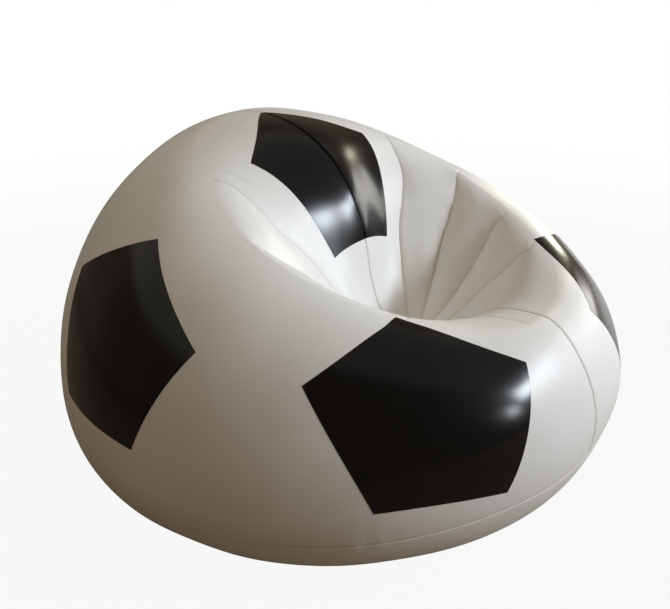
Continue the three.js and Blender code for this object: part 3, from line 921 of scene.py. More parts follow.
@dataclass
class Effects:
    """The surface effects that more than one finish uses, each one shader node group.

    Attributes:
        finer: How many short waves the ripple has to a long one.
        finer_height: Their height, against a long wave's.
        cloud: The noise values between which a smudge sets in.
        scratch: The noise values between which a scuff does.
        scuff_turn: How the scuffs lie, in radians about each axis.
        scuff_stretch: How much they are drawn out along each axis.
        patches: How many patches of seam dust and painted shade there are in a metre.
        dust_and_shade_least: Their least strength, where a patch is thinnest, beside a seam.
        dust_and_shade_swing: How much more there is where it is thickest.
    """

    finer: float = 5.3
    finer_height: float = 0.22
    cloud: Pair = (0.42, 0.72)
    scratch: Pair = (0.68, 0.8)
    scuff_turn: Triple = (0.4, 0.9, 0.3)
    scuff_stretch: Triple = (1.0, 8.0, 4.0)
    patches: float = 38.0
    dust_and_shade_least: float = 0.45
    dust_and_shade_swing: float = 0.8
    ripple: Tree = field(init=False)
    grain: Tree = field(init=False)
    handling: Tree = field(init=False)
    seam_soil: Tree = field(init=False)

    def __post_init__(self) -> None:
        """Builds every group once."""
        self.ripple = self._ripple()
        self.grain = self._grain()
        self.handling = self._handling()
        self.seam_soil = self._seam_dust_and_shade()

    def _ripple(self) -> Tree:
        """The slight unevenness of stretched sheet: long waves with shorter ones on them.

        Returns:
            The group.
        """
        group = GroupBuilder("sheet_ripple")
        group.takes("Place", "NodeSocketVector")
        group.takes("Waves", value=9.0)
        place, waves = group.entry.outputs["Place"], group.entry.outputs["Waves"]
        finer = group.maths("MULTIPLY", waves, self.finer)
        long = group.node("ShaderNodeTexNoise", Vector=place, Scale=waves, Detail=1.0)
        short = group.node("ShaderNodeTexNoise", Vector=place, Scale=finer, Detail=2.0)
        both = group.maths("MULTIPLY_ADD", short.outputs["Fac"], self.finer_height, long.outputs["Fac"])
        group.gives("Height", both)
        return group.tree

    def _grain(self) -> Tree:
        """The fine pebbling that the calender's rollers leave on sheet, or a mould on plastic.

        Returns:
            The group.
        """
        group = GroupBuilder("fine_grain")
        group.takes("Place", "NodeSocketVector")
        group.takes("Grains", value=1200.0)
        place, grains = group.entry.outputs["Place"], group.entry.outputs["Grains"]
        cells = group.node("ShaderNodeTexVoronoi", Vector=place, Scale=grains)
        dots = group.node("ShaderNodeTexNoise", Vector=place, Scale=grains, Detail=3.0)
        group.gives("Height", group.maths("ADD", cells.outputs["Distance"], dots.outputs["Fac"]))
        return group.tree

    def _handling(self) -> Tree:
        """Marks of use: cloudy smudges, and hairline scuffs in two directions.

        Returns:
            The group.
        """
        group = GroupBuilder("handling_marks")
        group.takes("Place", "NodeSocketVector")
        group.takes("Smudges", value=7.0)
        group.takes("Scuffs", value=32.0)
        place = group.entry.outputs["Place"]
        smudges, scuffs = group.entry.outputs["Smudges"], group.entry.outputs["Scuffs"]
        cloud = group.node("ShaderNodeTexNoise", Vector=place, Scale=smudges, Detail=5.0, Roughness=0.62)
        soft = self._between(group, cloud.outputs["Fac"], self.cloud)
        turn, stretch = self.scuff_turn, self.scuff_stretch
        drawn = group.node("ShaderNodeMapping", Vector=place, Rotation=turn, Scale=stretch)
        line = group.node("ShaderNodeTexNoise", Vector=drawn.outputs["Vector"], Scale=scuffs, Detail=2.0)
        fine = self._between(group, line.outputs["Fac"], self.scratch)
        group.gives("Smudge", soft)
        group.gives("Scuff", group.maths("MULTIPLY", fine, soft))
        return group.tree

    @staticmethod
    def _between(group: GroupBuilder, value: Socket, ends: Pair) -> Socket:
        """A rise from 0 to 1 between two values."""
        low, high = ends
        return group.node("ShaderNodeMapRange", Value=value, From_Min=low, From_Max=high).outputs["Result"]

    def _seam_dust_and_shade(self) -> Tree:
        """Dust in the welds and painted shade in their grooves, thinning out within a short reach of each.

        Returns:
            The group.
        """
        group = GroupBuilder("seam_soil")
        group.takes("Place", "NodeSocketVector")
        group.takes("Seam Distance", value=1.0)
        group.takes("Reach", value=0.004)
        near = group.maths("DIVIDE", group.entry.outputs["Seam Distance"], group.entry.outputs["Reach"])
        faded = group.maths("EXPONENT", group.maths("MULTIPLY", near, -1.0))
        place = group.entry.outputs["Place"]
        patches = group.node("ShaderNodeTexNoise", Vector=place, Scale=self.patches, Detail=3.0)
        uneven = group.maths("MULTIPLY_ADD", patches.outputs["Fac"], self.dust_and_shade_swing, self.dust_and_shade_least)
        # The seam mask stands for dust and for painted shade: it darkens the welds' grooves where shade
        # falls.
        group.gives("Soil", group.maths("MULTIPLY", faded, uneven))
        return group.tree


@dataclass(frozen=True)
class SheetFinish:
    """A finish of flexible sheet or moulded plastic.

    Attributes:
        colour: The clean colour, linear.
        worn_and_shaded: The colour that smudges, seam dust and painted seam shade lean to.
        gloss: Roughness where clean, and where handled.
        ripple: Height of the sheet's unevenness in metres.
        ripple_waves: How many of its waves there are in a metre.
        grain: Height of the fine grain in metres.
        smudge_share: How far a smudge leans to that darker colour.
        dust_and_shade_share: How far the dust and painted shade in a seam do.
        dust_and_shade_reach: Metres from a seam within which the dust and painted shade thin out.
        dusty: Roughness that the seam mask of dust and painted shade adds.
        coat: Weight of a clear gloss over it.
        coat_loss: How fast the seam mask of dust and painted shade takes that gloss away.
        coat_ior: How strongly the coat bends light, which sets how much it mirrors.
        sheer: Share of the light that goes into the sheet.
        sheer_reach: How far red, green and blue light spread in it, in metres.
        specular: How strongly its plain surface mirrors.
        has_seams: Whether its pieces carry the distance to the nearest seam.
    """

    name: str
    colour: Triple
    worn_and_shaded: Triple
    gloss: Pair
    ripple: float = 0.0004
    ripple_waves: float = 9.0
    grain: float = 0.000004
    smudge_share: float = 0.12
    dust_and_shade_share: float = 0.5
    dust_and_shade_reach: float = 0.004
    dusty: float = 0.2
    coat: float = 0.0
    coat_loss: float = 2.2
    coat_roughness: float = 0.2
    coat_ior: float = 1.5
    sheer: float = 0.0
    sheer_reach: Triple = (0.012, 0.009, 0.007)
    specular: float = 0.5
    has_seams: bool = False

    def material(self, effects: Effects) -> bpy.types.Material:
        """Builds the material on the shared effects.

        Args:
            effects: The shared groups.

        Returns:
            The material.
        """
        made = bpy.data.materials.new(self.name)
        tree = fresh_tree(made)
        place = add_node(tree, "ShaderNodeTexCoord").outputs["Object"]
        handled = self._group(tree, effects.handling, place)
        dust_and_shade_group = self._group(tree, effects.seam_soil, place)
        if self.has_seams:
            seam = add_node(tree, "ShaderNodeAttribute", attribute_name="seam")
            tree.links.new(seam.outputs["Fac"], dust_and_shade_group.inputs["Seam Distance"])
            dust_and_shade_group.inputs["Reach"].default_value = self.dust_and_shade_reach
        # Seam mask of dust and painted shade: it darkens the grooves' colour, roughens them and dulls the
        # coat.
        soil = dust_and_shade_group.outputs["Soil"]
        marked = add_maths(tree, "MAXIMUM", handled.outputs["Smudge"], handled.outputs["Scuff"])
        clean, marred = self.gloss
        rough = add_node(tree, "ShaderNodeMapRange", Value=marked, To_Min=clean, To_Max=marred)
        shader = add_node(
            tree,
            "ShaderNodeBsdfPrincipled",
            Base_Color=self._colour(tree, handled.outputs["Smudge"], soil),
            Roughness=add_maths(tree, "MULTIPLY_ADD", soil, self.dusty, rough.outputs["Result"]),
            Normal=self._bump(tree, effects, place),
            Specular_IOR_Level=self.specular,
            Subsurface_Weight=self.sheer,
            Subsurface_Radius=self.sheer_reach,
        )
        if self.coat:
            left = add_maths(tree, "MULTIPLY_ADD", soil, -self.coat_loss * self.coat, self.coat)
            tree.links.new(add_maths(tree, "MAXIMUM", left, 0.0), shader.inputs["Coat Weight"])
            shader.inputs["Coat Roughness"].default_value = self.coat_roughness
            shader.inputs["Coat IOR"].default_value = self.coat_ior
        add_node(tree, "ShaderNodeOutputMaterial", Surface=shader.outputs["BSDF"])
        return made

    def _colour(self, tree: Tree, smudge: Socket, soil: Socket) -> Socket:
        """The clean colour, leaning to the worn_and_shaded one in smudges and in the seams' dust and painted
        shade.

        Args:
            tree: The material's tree.
            smudge: How smudged each place is.
            soil: How much seam dust and painted shade each place has.

        Returns:
            The colour.
        """
        smudged = add_maths(tree, "MULTIPLY", smudge, self.smudge_share)
        # Painted shade and dust in the seams: the colour leans darker there.
        dust_and_shade_tint = add_maths(tree, "MULTIPLY", soil, self.dust_and_shade_share)
        mixed = add_node(tree, "ShaderNodeMix", data_type="RGBA")
        tree.links.new(add_maths(tree, "MAXIMUM", smudged, dust_and_shade_tint), mixed.inputs[0])
        mixed.inputs[6].default_value = (*self.colour, 1.0)
        mixed.inputs[7].default_value = (*self.worn_and_shaded, 1.0)
        return mixed.outputs[2]

    def _bump(self, tree: Tree, effects: Effects, place: Socket) -> Socket:
        """The normal of the rippled, finely grained surface.

        Args:
            tree: The material's tree.
            effects: The shared groups.
            place: The place on the surface.

        Returns:
            The normal.
        """
        ripple = self._group(tree, effects.ripple, place)
        ripple.inputs["Waves"].default_value = self.ripple_waves
        grain = self._group(tree, effects.grain, place)
        waves = add_maths(tree, "MULTIPLY", ripple.outputs["Height"], self.ripple)
        height = add_maths(tree, "MULTIPLY_ADD", grain.outputs["Height"], self.grain, waves)
        return add_node(tree, "ShaderNodeBump", Height=height, Distance=1.0).outputs["Normal"]

    @staticmethod
    def _group(tree: Tree, group: Tree, place: Socket) -> Node:
        """Places a shared effect in a material and feeds it the surface's place.

        Args:
            tree: The material's tree.
            group: The effect.
            place: The place on the surface.

        Returns:
            The group's node.
        """
        node = tree.nodes.new("ShaderNodeGroup")
        node.node_tree = group
        tree.links.new(place, node.inputs["Place"])
        return node


SKIN_FINISH = SheetFinish(
    "soft_gloss_white_sheet",
    colour=(0.81, 0.8, 0.78),
    worn_and_shaded=(0.56, 0.51, 0.44),
    gloss=(0.36, 0.5),
    ripple=0.0006,
    smudge_share=0.1,
    # The seams lean to the darker colour: dust, and painted shade in their grooves.
    dust_and_shade_share=0.4,
    sheer=0.06,
    specular=0.34,
    has_seams=True,
)
PRINT_FINISH = SheetFinish(
    "gloss_black_print",
    colour=(0.0022, 0.0022, 0.0023),
    worn_and_shaded=(0.008, 0.0075, 0.007),
    gloss=(0.17, 0.26),
    ripple=0.0006,
    smudge_share=0.4,
    dust_and_shade_share=0.0,
    dust_and_shade_reach=0.0024,
    dusty=0.8,
    coat=1.0,
    coat_roughness=0.19,
    coat_ior=1.367,
    specular=0.0,
    has_seams=True,
)
WEB_FINISH = SheetFinish(
    "milky_web_sheet",
    colour=(0.66, 0.69, 0.70),
    worn_and_shaded=(0.5, 0.5, 0.47),
    gloss=(0.42, 0.55),
    sheer=0.2,
)
VALVE_FINISH = SheetFinish(
    "moulded_milky_plastic",
    colour=(0.74, 0.76, 0.77),
    worn_and_shaded=(0.5, 0.49, 0.46),
    gloss=(0.28, 0.4),
    ripple=0.00004,
    ripple_waves=60.0,
    grain=0.000006,
    sheer=0.15,
)
SEAL_FINISH = SheetFinish(
    "soft_dark_rubber",
    colour=(0.035, 0.036, 0.038),
    worn_and_shaded=(0.12, 0.11, 0.1),
    gloss=(0.55, 0.7),
    ripple=0.00003,
    ripple_waves=80.0,
    grain=0.00001,
)


@dataclass
class Dresser:
    """Gives each piece its body, its slot, its finish and the nodes that it stands for."""

    materials: dict[Slot, bpy.types.Material]

    def dress(
        self, piece: Piece, slot: Slot, body: str, nodes: Sequence[str]
    ) -> Piece:
        """Finishes a new piece.

        Args:
            piece: The piece, in place.
            slot: The record's slot, which also names the finish.
            body: The body that it moves with.
            nodes: The solids that it stands for.

        Returns:
            The piece.
        """
        piece.data.materials.clear()
        piece.data.materials.append(self.materials[slot])
        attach(piece, body)
        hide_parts(*nodes)
        LOG.info("%s: %d faces, stands for %s", piece.name, len(piece.data.polygons), ", ".join(nodes))
        return piece


@dataclass
class Skin:
    """The two inflated halves, from the base seam over the rim and down to the seat patch.

    Attributes:
        gauge: The sheet's thickness.
        half_gap: Half the gap between two panels at their seam.
        fin: How deep the weld fins are folded in.
        fin_end: The station at which the middle seam's fins end, down in the bowl.
        lobe_end: The station at which the sheet ends under the seat patch's place.
        column_near: How far from a seam or crease the columns beside it lie, in radians.
        column_spacing: The widest step between columns elsewhere.
        row_near: How far from a seam the rows beside it lie, in stations.
        row_spacing: The widest step between rows elsewhere.
        hole_radius: The radius of the valve's hole.
        flat_radius: How far from the valve's axis the sheet lies flat.
        flat_fade: How far from it the sheet is back in its own form.
        fill: How full of air the halves are; not used.
        lobes: The names of a half's seat lobes, from front to back.
    """

    relief: Relief
    valve: ValvePlace
    gauge: float = 0.0004
    half_gap: float = 0.00015
    fin: float = 0.008
    fin_end: float = 3.75
    lobe_end: float = 3.92
    column_near: tuple[float, ...] = (0.0, 0.0014, 0.003, 0.005, 0.008, 0.012, 0.018, 0.026)
    column_spacing: float = 0.0115
    row_near: tuple[float, ...] = (0.0, 0.0014, 0.003, 0.005, 0.008, 0.012, 0.018, 0.027)
    row_spacing: float = 0.0125
    hole_radius: float = 0.017
    flat_radius: float = 0.03
    flat_fade: float = 0.055
    fill: float = 0.95
    lobes: tuple[str, ...] = ("front", "arm_front", "arm_middle", "arm_rear", "back")

    def columns(self) -> Array:
        """The angles of a half's columns, crowded beside its seams and creases."""
        stops = [0.0, *(turn * math.pi for turn in self.relief.crease_turns), math.pi]
        return clustered(stops, self.column_near, self.column_spacing)

    def rows(self) -> Array:
        """The stations of its rows, crowded over the base seam."""
        return clustered([self.relief.base_seam, RIM, self.lobe_end], self.row_near, self.row_spacing)

    def near_valve(self, outer: Array) -> tuple[Array, Array]:
        """Each point's height over the valve's plane and its distance from the valve's axis.

        Args:
            outer: Points of the sheet.

        Returns:
            The heights and the distances.
        """
        offset = outer - np.array(self.valve.centre)
        height = offset @ np.array(self.valve.outward)
        return height, np.linalg.norm(offset - height[..., None] * np.array(self.valve.outward), axis=-1)

    def flattened(self, points: Array, height: float) -> Array:
        """Presses points level round the valve, at a height over its plane.

        Args:
            points: Points of the sheet.
            height: The height.

        Returns:
            The pressed points.
        """
        rise, away = self.near_valve(points)
        near = np.abs(rise) < self.flat_fade
        share = np.where(near, 1.0 - smooth(away, self.flat_radius, self.flat_fade), 0.0)
        return points - ((rise - height) * share)[..., None] * np.array(self.valve.outward)

    def half(self, side: Side) -> Piece:
        """Builds one half.

        Args:
            side: The half.

        Returns:
            The closed thin body of its sheet, with weld fins folded in at its seams.
        """
        columns, rows = self.columns(), self.rows()
        if side is Side.LEFT:
            columns = -columns[::-1]
        angle, station = np.meshgrid(columns, rows)
        outer = self.relief.place(angle, station)
        inner = self.relief.place(angle, station, -self.gauge)
        away = np.array([-float(side.value), 0.0, 0.0])
        lower = self.relief.form.frame(columns, rows[0])
        for points, gap in ((outer, self.half_gap), (inner, self.half_gap + self.gauge)):
            points[:, [0, -1]] += away * gap
            points[0] += lower.up * gap
        keep = None
        if side is Side.LEFT:
            outer, inner = self.flattened(outer, 0.0), self.flattened(inner, -self.gauge)
            outer, inner, keep = self.with_hole(outer, inner)
        sheet = SheetMesh()
        numbers = sheet.points(outer, inner)
        sheet.grid(numbers, keep)
        tips = self.fins(sheet, numbers, outer, angle, station, away)
        seam = np.append(self.seam_field(angle, station), np.zeros(tips))
        return sheet.build(f"skin_{side.name.lower()}", seam)

    def seam_field(self, angle: Array, station: Array) -> Array:
        """The distance of each point to the nearest weld, as one flat list."""
        frame = self.relief.form.frame(angle, station)
        return np.minimum.reduce(self.relief.seam_distance(angle, station, frame)).reshape(-1)

    def with_hole(self, outer: Array, inner: Array) -> tuple[Array, Array, Array]:
        """Opens the skin at the valve: drops the cells inside and draws the edge onto a circle.

        Args:
            outer: Points of the outer face in rows and columns.
            inner: Points of the inner face.

        Returns:
            Both faces with the drawn edge, and which cells stay.
        """
        height, away = self.near_valve(outer)
        inside = (away < self.hole_radius) & (np.abs(height) < self.flat_fade)
        lower, upper = slice(None, -1), slice(1, None)
        corners = [(rows, columns) for rows in (lower, upper) for columns in (lower, upper)]
        touched = np.logical_or.reduce([inside[corner] for corner in corners])
        dropped = np.zeros_like(inside)
        for corner in corners:
            dropped[corner] |= touched
        edge = dropped & ~inside
        axis = np.array(self.valve.outward)
        for points in (outer, inner):
            rise, gap = self.near_valve(points)
            foot = np.array(self.valve.centre) + rise[..., None] * axis
            drawn = foot + (points - foot) * (self.hole_radius / np.maximum(gap, TINY))[..., None]
            points[edge] = drawn[edge]
        return outer, inner, ~touched

    def fins(
        self, sheet: SheetMesh, numbers: Array, outer: Array, angle: Array, station: Array, away: Array
    ) -> int:
        """Adds the weld fins along the front, base and rear seams.

        Args:
            sheet: The half's mesh so far.
            numbers: The numbers of its points, in rows and columns.
            outer: The points of its outer face.
            angle: Their turns round the chair in radians.
            station: Their stations up the meridian.
            away: The way from the middle seam into the half.

        Returns:
            How many points it adds, all at a seam.
        """
        last_row = int(np.searchsorted(station[:, 0], self.fin_end))
        path = [(row, 0) for row in range(last_row, 0, -1)]
        path += [(0, column) for column in range(numbers.shape[1])]
        path += [(row, numbers.shape[1] - 1) for row in range(1, last_row + 1)]
        rows, columns = np.array(path).T
        frame = self.relief.form.frame(angle[rows, columns], station[rows, columns])
        tips = outer[rows, columns] - frame.outward * self.fin
        fold = np.zeros_like(tips)
        fold[(columns == 0) | (columns == numbers.shape[1] - 1)] += away * self.gauge
        fold[rows == 0] += frame.up[rows == 0] * self.gauge
        tip_numbers = sheet.points(tips, tips + fold)
        sheet.grid(np.stack([tip_numbers, numbers[rows, columns]]))
        return len(path)

    def build(self, dresser: Dresser) -> None:
        """Builds and dresses both halves."""
        for side in Side:
            name = side.name.lower()
            nodes = [f"wall_{name}", *(f"lobe_{lobe}_{name}" for lobe in self.lobes)]
            dresser.dress(self.half(side), Slot.SKIN, "chair", nodes)


@dataclass
class BottomPanel:
    """The panel that the chair stands on: flat below, then rising to the base seam.

    Attributes:
        inmost: The station of its inmost ring of points.
        floor_rings: How many rings lie flat on the floor.
        row_spacing: The widest step between rows above them.
        columns: How many columns run round it.
    """

    skin: Skin
    inmost: float = 0.1
    floor_rings: int = 13
    row_spacing: float = 0.016
    columns: int = 560

    def rows(self) -> Array:
        """The stations of its rows, crowded at the floor's edge and under the base seam.

        Returns:
            The stations from the inmost ring to the seam.
        """
        seam = self.skin.relief.base_seam
        flat = np.linspace(self.inmost, FLOOR_EDGE, self.floor_rings + 1)[:-1]
        rising = clustered([FLOOR_EDGE, seam], self.skin.row_near, self.row_spacing)
        return np.concatenate([flat, seam + FLOOR_EDGE - rising[::-1]])

    def build(self, dresser: Dresser) -> None:
        """Builds and dresses the panel.

        Args:
            dresser: Hands the piece to its body.
        """
        relief, skin = self.skin.relief, self.skin
        rows = self.rows()
        columns = np.linspace(-math.pi, math.pi, self.columns, endpoint=False)
        angle, station = np.meshgrid(columns, rows)
        outer = relief.place(angle, station)
        inner = relief.place(angle, station, -skin.gauge)
        resting = station <= FLOOR_EDGE
        outer[resting, 2] = 0.0
        inner[resting] = outer[resting] + [0.0, 0.0, skin.gauge]
        upper = relief.form.frame(columns, rows[-1])
        outer[-1] -= upper.up * skin.half_gap
        inner[-1] -= upper.up * (skin.half_gap + skin.gauge)
        tips = outer[-1] - upper.outward * skin.fin
        sheet = SheetMesh()
        outer = np.concatenate([outer, tips[None]])
        inner = np.concatenate([inner, (tips - upper.up * skin.gauge)[None]])
        numbers = sheet.points(outer, inner)
        sheet.tube(numbers)
        sheet.fan(np.zeros(3), np.array([0.0, 0.0, skin.gauge]), numbers[0][::-1])
        seam = np.concatenate([skin.seam_field(angle, station), np.zeros(len(tips)), [FAR]])
        dresser.dress(sheet.build("bottom_skin", seam), Slot.SKIN, "chair", ["bottom_panel"])


@dataclass
class SeatPatch:
    """The round patch under the inner ends of the halves, at the middle of the seat.

    Attributes:
        edge: The station of its outer edge.
        inmost: The station of its inmost ring of points.
        drop: How far under the skin's outer face it lies.
        fill: How full of air it is; not used.
    """

    skin: Skin
    rows: int = 16
    columns: int = 360
    edge: float = 3.83
    inmost: float = 3.985
    drop: float = 0.0009
    fill: float = 0.8

    def build(self, dresser: Dresser) -> None:
        """Builds and dresses the patch.

        Args:
            dresser: Hands the piece to its body.
        """
        relief, skin = self.skin.relief, self.skin
        columns = np.linspace(-math.pi, math.pi, self.columns, endpoint=False)
        angle, station = np.meshgrid(columns, np.linspace(self.edge, self.inmost, self.rows))
        outer = relief.place(angle, station, -self.drop)
        inner = outer - relief.form.frame(angle, station).outward * skin.gauge
        sheet = SheetMesh()
        numbers = sheet.points(outer, inner)
        sheet.tube(numbers)
        top = outer[-1].mean(axis=0)
        sheet.fan(top, top - [0.0, 0.0, skin.gauge], numbers[-1])
        seam = np.abs(station.reshape(-1) - skin.lobe_end) * relief.station_length
        patch = sheet.build("seat_patch", np.append(seam, FAR))
        dresser.dress(patch, Slot.SKIN, "chair", ["seat_centre_patch"])


@dataclass(frozen=True)
class Corner:
    """A corner of a print, and the bow of the edge that starts there.

    Attributes:
        turn: Turn round the chair, the same on both halves.
        station: Station up the meridian.
        turn_bow: How far the edge's middle lies off its chord round the chair.
        station_bow: How far it lies off it up the meridian.
    """

    turn: float
    station: float
    turn_bow: float = 0.0
    station_bow: float = 0.0


@dataclass(frozen=True)
class Print:
    """One kind of printed pentagon, or its half where the middle seam parts it."""

    name: str
    sides: tuple[Side, ...]
    corners: tuple[Corner, ...]

    def outline(self, edge_points: int) -> Array:
        """The outline's turns and stations, evenly along each edge.

        Args:
            edge_points: How many points each edge has.

        Returns:
            One turn and station for each point.
        """
        points = []
        share = np.arange(edge_points)[:, None] / edge_points
        for start, end in zip(self.corners, [*self.corners[1:], self.corners[0]]):
            chord = np.array([start.turn, start.station]) * (1.0 - share)
            chord = chord + np.array([end.turn, end.station]) * share
            points.append(chord + np.array([start.turn_bow, start.station_bow]) * 4 * share * (1.0 - share))
        return np.concatenate(points)

    def runs_round(self) -> bool:
        """Whether the corners run from low turns to high ones over the lower stations.

        Returns:
            True if they do.
        """
        following = [*self.corners[1:], self.corners[0]]
        area = sum(a.turn * b.station - b.turn * a.station for a, b in zip(self.corners, following))
        return area > 0


BOTH = (Side.RIGHT, Side.LEFT)
PRINTS = (
    Print(
        "front",
        BOTH,
        (
            Corner(0.283, 3.05, station_bow=0.055),
            Corner(0.094, 2.675, turn_bow=-0.005),
            Corner(0.131, 1.955, station_bow=0.024),
            Corner(0.256, 2.04, turn_bow=-0.01),
            Corner(0.342, 2.545, turn_bow=-0.008),
        ),
    ),
    Print(
        "side",
        BOTH,
        (
            Corner(0.6, 2.74, turn_bow=-0.006),
            Corner(0.453, 2.525),
            Corner(0.486, 2.12),
            Corner(0.608, 2.095),
            Corner(0.681, 2.42),
        ),
    ),
    Print(
        "back",
        (Side.RIGHT,),
        (Corner(1.0, 3.03, station_bow=0.013), Corner(0.767, 3.14), Corner(0.774, 3.54), Corner(1.0, 3.54)),
    ),
    Print(
        "back",
        (Side.LEFT,),
        (
            Corner(1.0, 3.54),
            Corner(0.77, 3.54, turn_bow=-0.024),
            Corner(0.762, 3.125, station_bow=0.026),
            Corner(1.0, 3.03),
        ),
    ),
    Print(
        "rear",
        BOTH,
        (Corner(1.0, 2.5), Corner(0.9, 2.3), Corner(0.944, 1.95), Corner(1.0, 1.95)),
    ),
)


@dataclass
class Pentagons:
    """The black pentagons printed on the skin, each a thin layer that follows it.

    Attributes:
        over: Height of a print's face over the skin.
        under: Height of its underside.
        rings: How many rings of points it has from its middle to its outline.
        edge_points: How many points each of its edges has.
        crowding: How much its rings crowd towards its outline.
    """

    skin: Skin
    over: float = 0.00035
    under: float = 0.00012
    rings: int = 44
    edge_points: int = 70
    crowding: float = 1.8

    def one(self, design: Print, side: Side) -> Piece:
        """Builds one print.

        Args:
            design: Its outline.
            side: The half that it is printed on.

        Returns:
            The thin closed layer.
        """
        outline = design.outline(self.edge_points)
        middle = outline.mean(axis=0)
        shares = 1.0 - (1.0 - np.arange(1, self.rings + 1) / self.rings) ** self.crowding
        places = middle + (outline - middle) * shares[:, None, None]
        turns, stations = places[..., 0] * side.value, places[..., 1]
        if design.runs_round() == (side is Side.RIGHT):
            turns, stations = turns[:, ::-1], stations[:, ::-1]
        angle = turns * math.pi
        shift = np.zeros(angle.shape + (3,))
        shift[np.abs(turns) > 1.0 - TINY, 0] = -side.value * self.skin.half_gap
        place, heights = self.skin.relief.place, (self.over, self.under)
        sheet = SheetMesh()
        numbers = sheet.points(*(place(angle, stations, height) + shift for height in heights))
        sheet.tube(numbers[::-1])
        centre = (middle[0] * side.value * math.pi, middle[1])
        sheet.fan(*(place(*centre, height) for height in heights), numbers[0])
        seam = self.skin.seam_field(angle, stations)
        return sheet.build(f"print_{design.name}_{side.name.lower()}", np.append(seam, FAR))

    def build(self, dresser: Dresser) -> None:
        """Builds and dresses every print."""
        for design in PRINTS:
            for side in design.sides:
                node = f"pentagon_{design.name}_{side.name.lower()}"
                dresser.dress(self.one(design, side), Slot.PRINT, "chair", [node])


def deselect() -> None:
    """Leaves nothing selected, in object mode."""
    if bpy.context.object and bpy.context.object.mode != "OBJECT":
        bpy.ops.object.mode_set(mode="OBJECT")
    bpy.ops.object.select_all(action="DESELECT")


def pick(piece: Piece) -> None:
    """Selects one piece and makes it the active one.

    Args:
        piece: The piece.
    """
    deselect()
    piece.select_set(True)
    bpy.context.view_layer.objects.active = piece


def turned(name: str, profile: Sequence[Pair], segments: int = 96, solid: bool = False) -> Piece:
    """Turns a profile about the z axis, by extruding a circle of edges along it.

    Args:
        name: The piece's name.
        profile: Radius and height of each ring, from the first round to the last.
        segments: The number of steps round.
        solid: Whether the ends are closed on the axis, and not with each other.

    Returns:
        The closed piece.
    """
    (radius, height), *steps = profile
    deselect()
    bpy.ops.mesh.primitive_circle_add(vertices=segments, radius=radius, location=(0, 0, 0))
    piece = bpy.context.object
    piece.name = name
    bpy.ops.object.mode_set(mode="EDIT")
    bpy.ops.mesh.select_all(action="SELECT")
    bpy.ops.transform.translate(value=(0, 0, height))
    for next_radius, next_height in steps:
        bpy.ops.mesh.extrude_edges_move(TRANSFORM_OT_translate={"value": (0, 0, next_height - height)})
        share = next_radius / radius
        bpy.ops.transform.resize(value=(share, share, 1))
        radius, height = next_radius, next_height
    bpy.ops.mesh.select_all(action="DESELECT")
    bpy.ops.mesh.select_non_manifold()
    if solid:
        bpy.ops.mesh.fill_holes(sides=0)
    else:
        bpy.ops.mesh.bridge_edge_loops()
    bpy.ops.mesh.select_all(action="SELECT")
    bpy.ops.mesh.normals_make_consistent(inside=False)
    bpy.ops.object.mode_set(mode="OBJECT")
    return piece


def block(name: str, low: Sequence[float], high: Sequence[float]) -> Piece:
    """A box between two corners.

    Args:
        name: The piece's name.
        low: Its lowest corner.
        high: Its highest corner.

    Returns:
        The box.
    """
    deselect()
    bpy.ops.mesh.primitive_cube_add(size=1, location=[(a + b) / 2 for a, b in zip(low, high)])
    piece = bpy.context.object
    piece.name = name
    piece.scale = [b - a for a, b in zip(low, high)]
    bpy.ops.object.transform_apply(location=True, rotation=True, scale=True)
    return piece


def combine(piece: Piece, tool: Piece, operation: str) -> None:
    """Joins a tool to a piece, or cuts it out, and deletes the tool.

    Args:
        piece: The piece.
        tool: The tool.
        operation: UNION or DIFFERENCE.
    """
    pick(piece)
    modifier = piece.modifiers.new("combine", "BOOLEAN")
    modifier.operation = operation
    modifier.object = tool
    bpy.ops.object.modifier_apply(modifier=modifier.name)
    bpy.data.objects.remove(tool)


def round_edges(piece: Piece, width: float, angle: float = 32.0) -> None:
    """Rounds a piece's edges and smooths its faces between them.

    Args:
        piece: The piece.
        width: The width of the rounding.
        angle: The least angle in degrees at which an edge is rounded.
    """
    pick(piece)
    modifier = piece.modifiers.new("round_edges", "BEVEL")
    modifier.width = width
    modifier.segments = 3
    modifier.limit_method = "ANGLE"
    modifier.angle_limit = math.radians(angle)
    bpy.ops.object.modifier_apply(modifier=modifier.name)
    bpy.ops.object.shade_smooth_by_angle(angle=math.radians(angle))


@dataclass(frozen=True)
class ValveBase:
    """The moulded base: a neck through the skin on a flange that is welded under it.

    Attributes:
        root: The size of the fillet where the neck meets the flange.
        root_shares: How far the fillet's two ends lie off the corner, as shares of its size.
        groove: Half the width of the groove under the seal.
        groove_floor_share: How much of that width is flat.
        groove_depth: How deep it is.
        rounding: How far its edges are rounded.
    """

    bore: float = 13.0 * MM
    neck: float = 16.5 * MM
    neck_top: float = 4.0 * MM
    flange: float = 28.0 * MM
    flange_low: float = -1.9 * MM
    flange_top: float = -0.7 * MM
    root: float = 1.0 * MM
    root_shares: Pair = (0.25, 0.5)
    groove: float = 1.0 * MM
    groove_floor_share: float = 0.6
    groove_depth: float = 0.3 * MM
    rounding: float = 0.2 * MM

    def model(self) -> Piece:
        """Models the base, with a rounded root and a shallow groove under the seal.

        Returns:
            The piece, in the valve's own frame.
        """
        middle = (self.bore + self.neck) / 2
        foot, rise = (share * self.root for share in self.root_shares)
        flat = self.groove * self.groove_floor_share
        profile = [
            (self.bore, self.flange_low),
            (self.flange, self.flange_low),
            (self.flange, self.flange_top),
            (self.neck + foot, self.flange_top),
            (self.neck, self.flange_top + rise),
            (self.neck, self.neck_top),
            (middle + self.groove, self.neck_top),
            (middle + flat, self.neck_top - self.groove_depth),
            (middle - flat, self.neck_top - self.groove_depth),
            (middle - self.groove, self.neck_top),
            (self.bore, self.neck_top),
        ]
        piece = turned("valve_base_dressed", profile)
        round_edges(piece, self.rounding)
        return piece


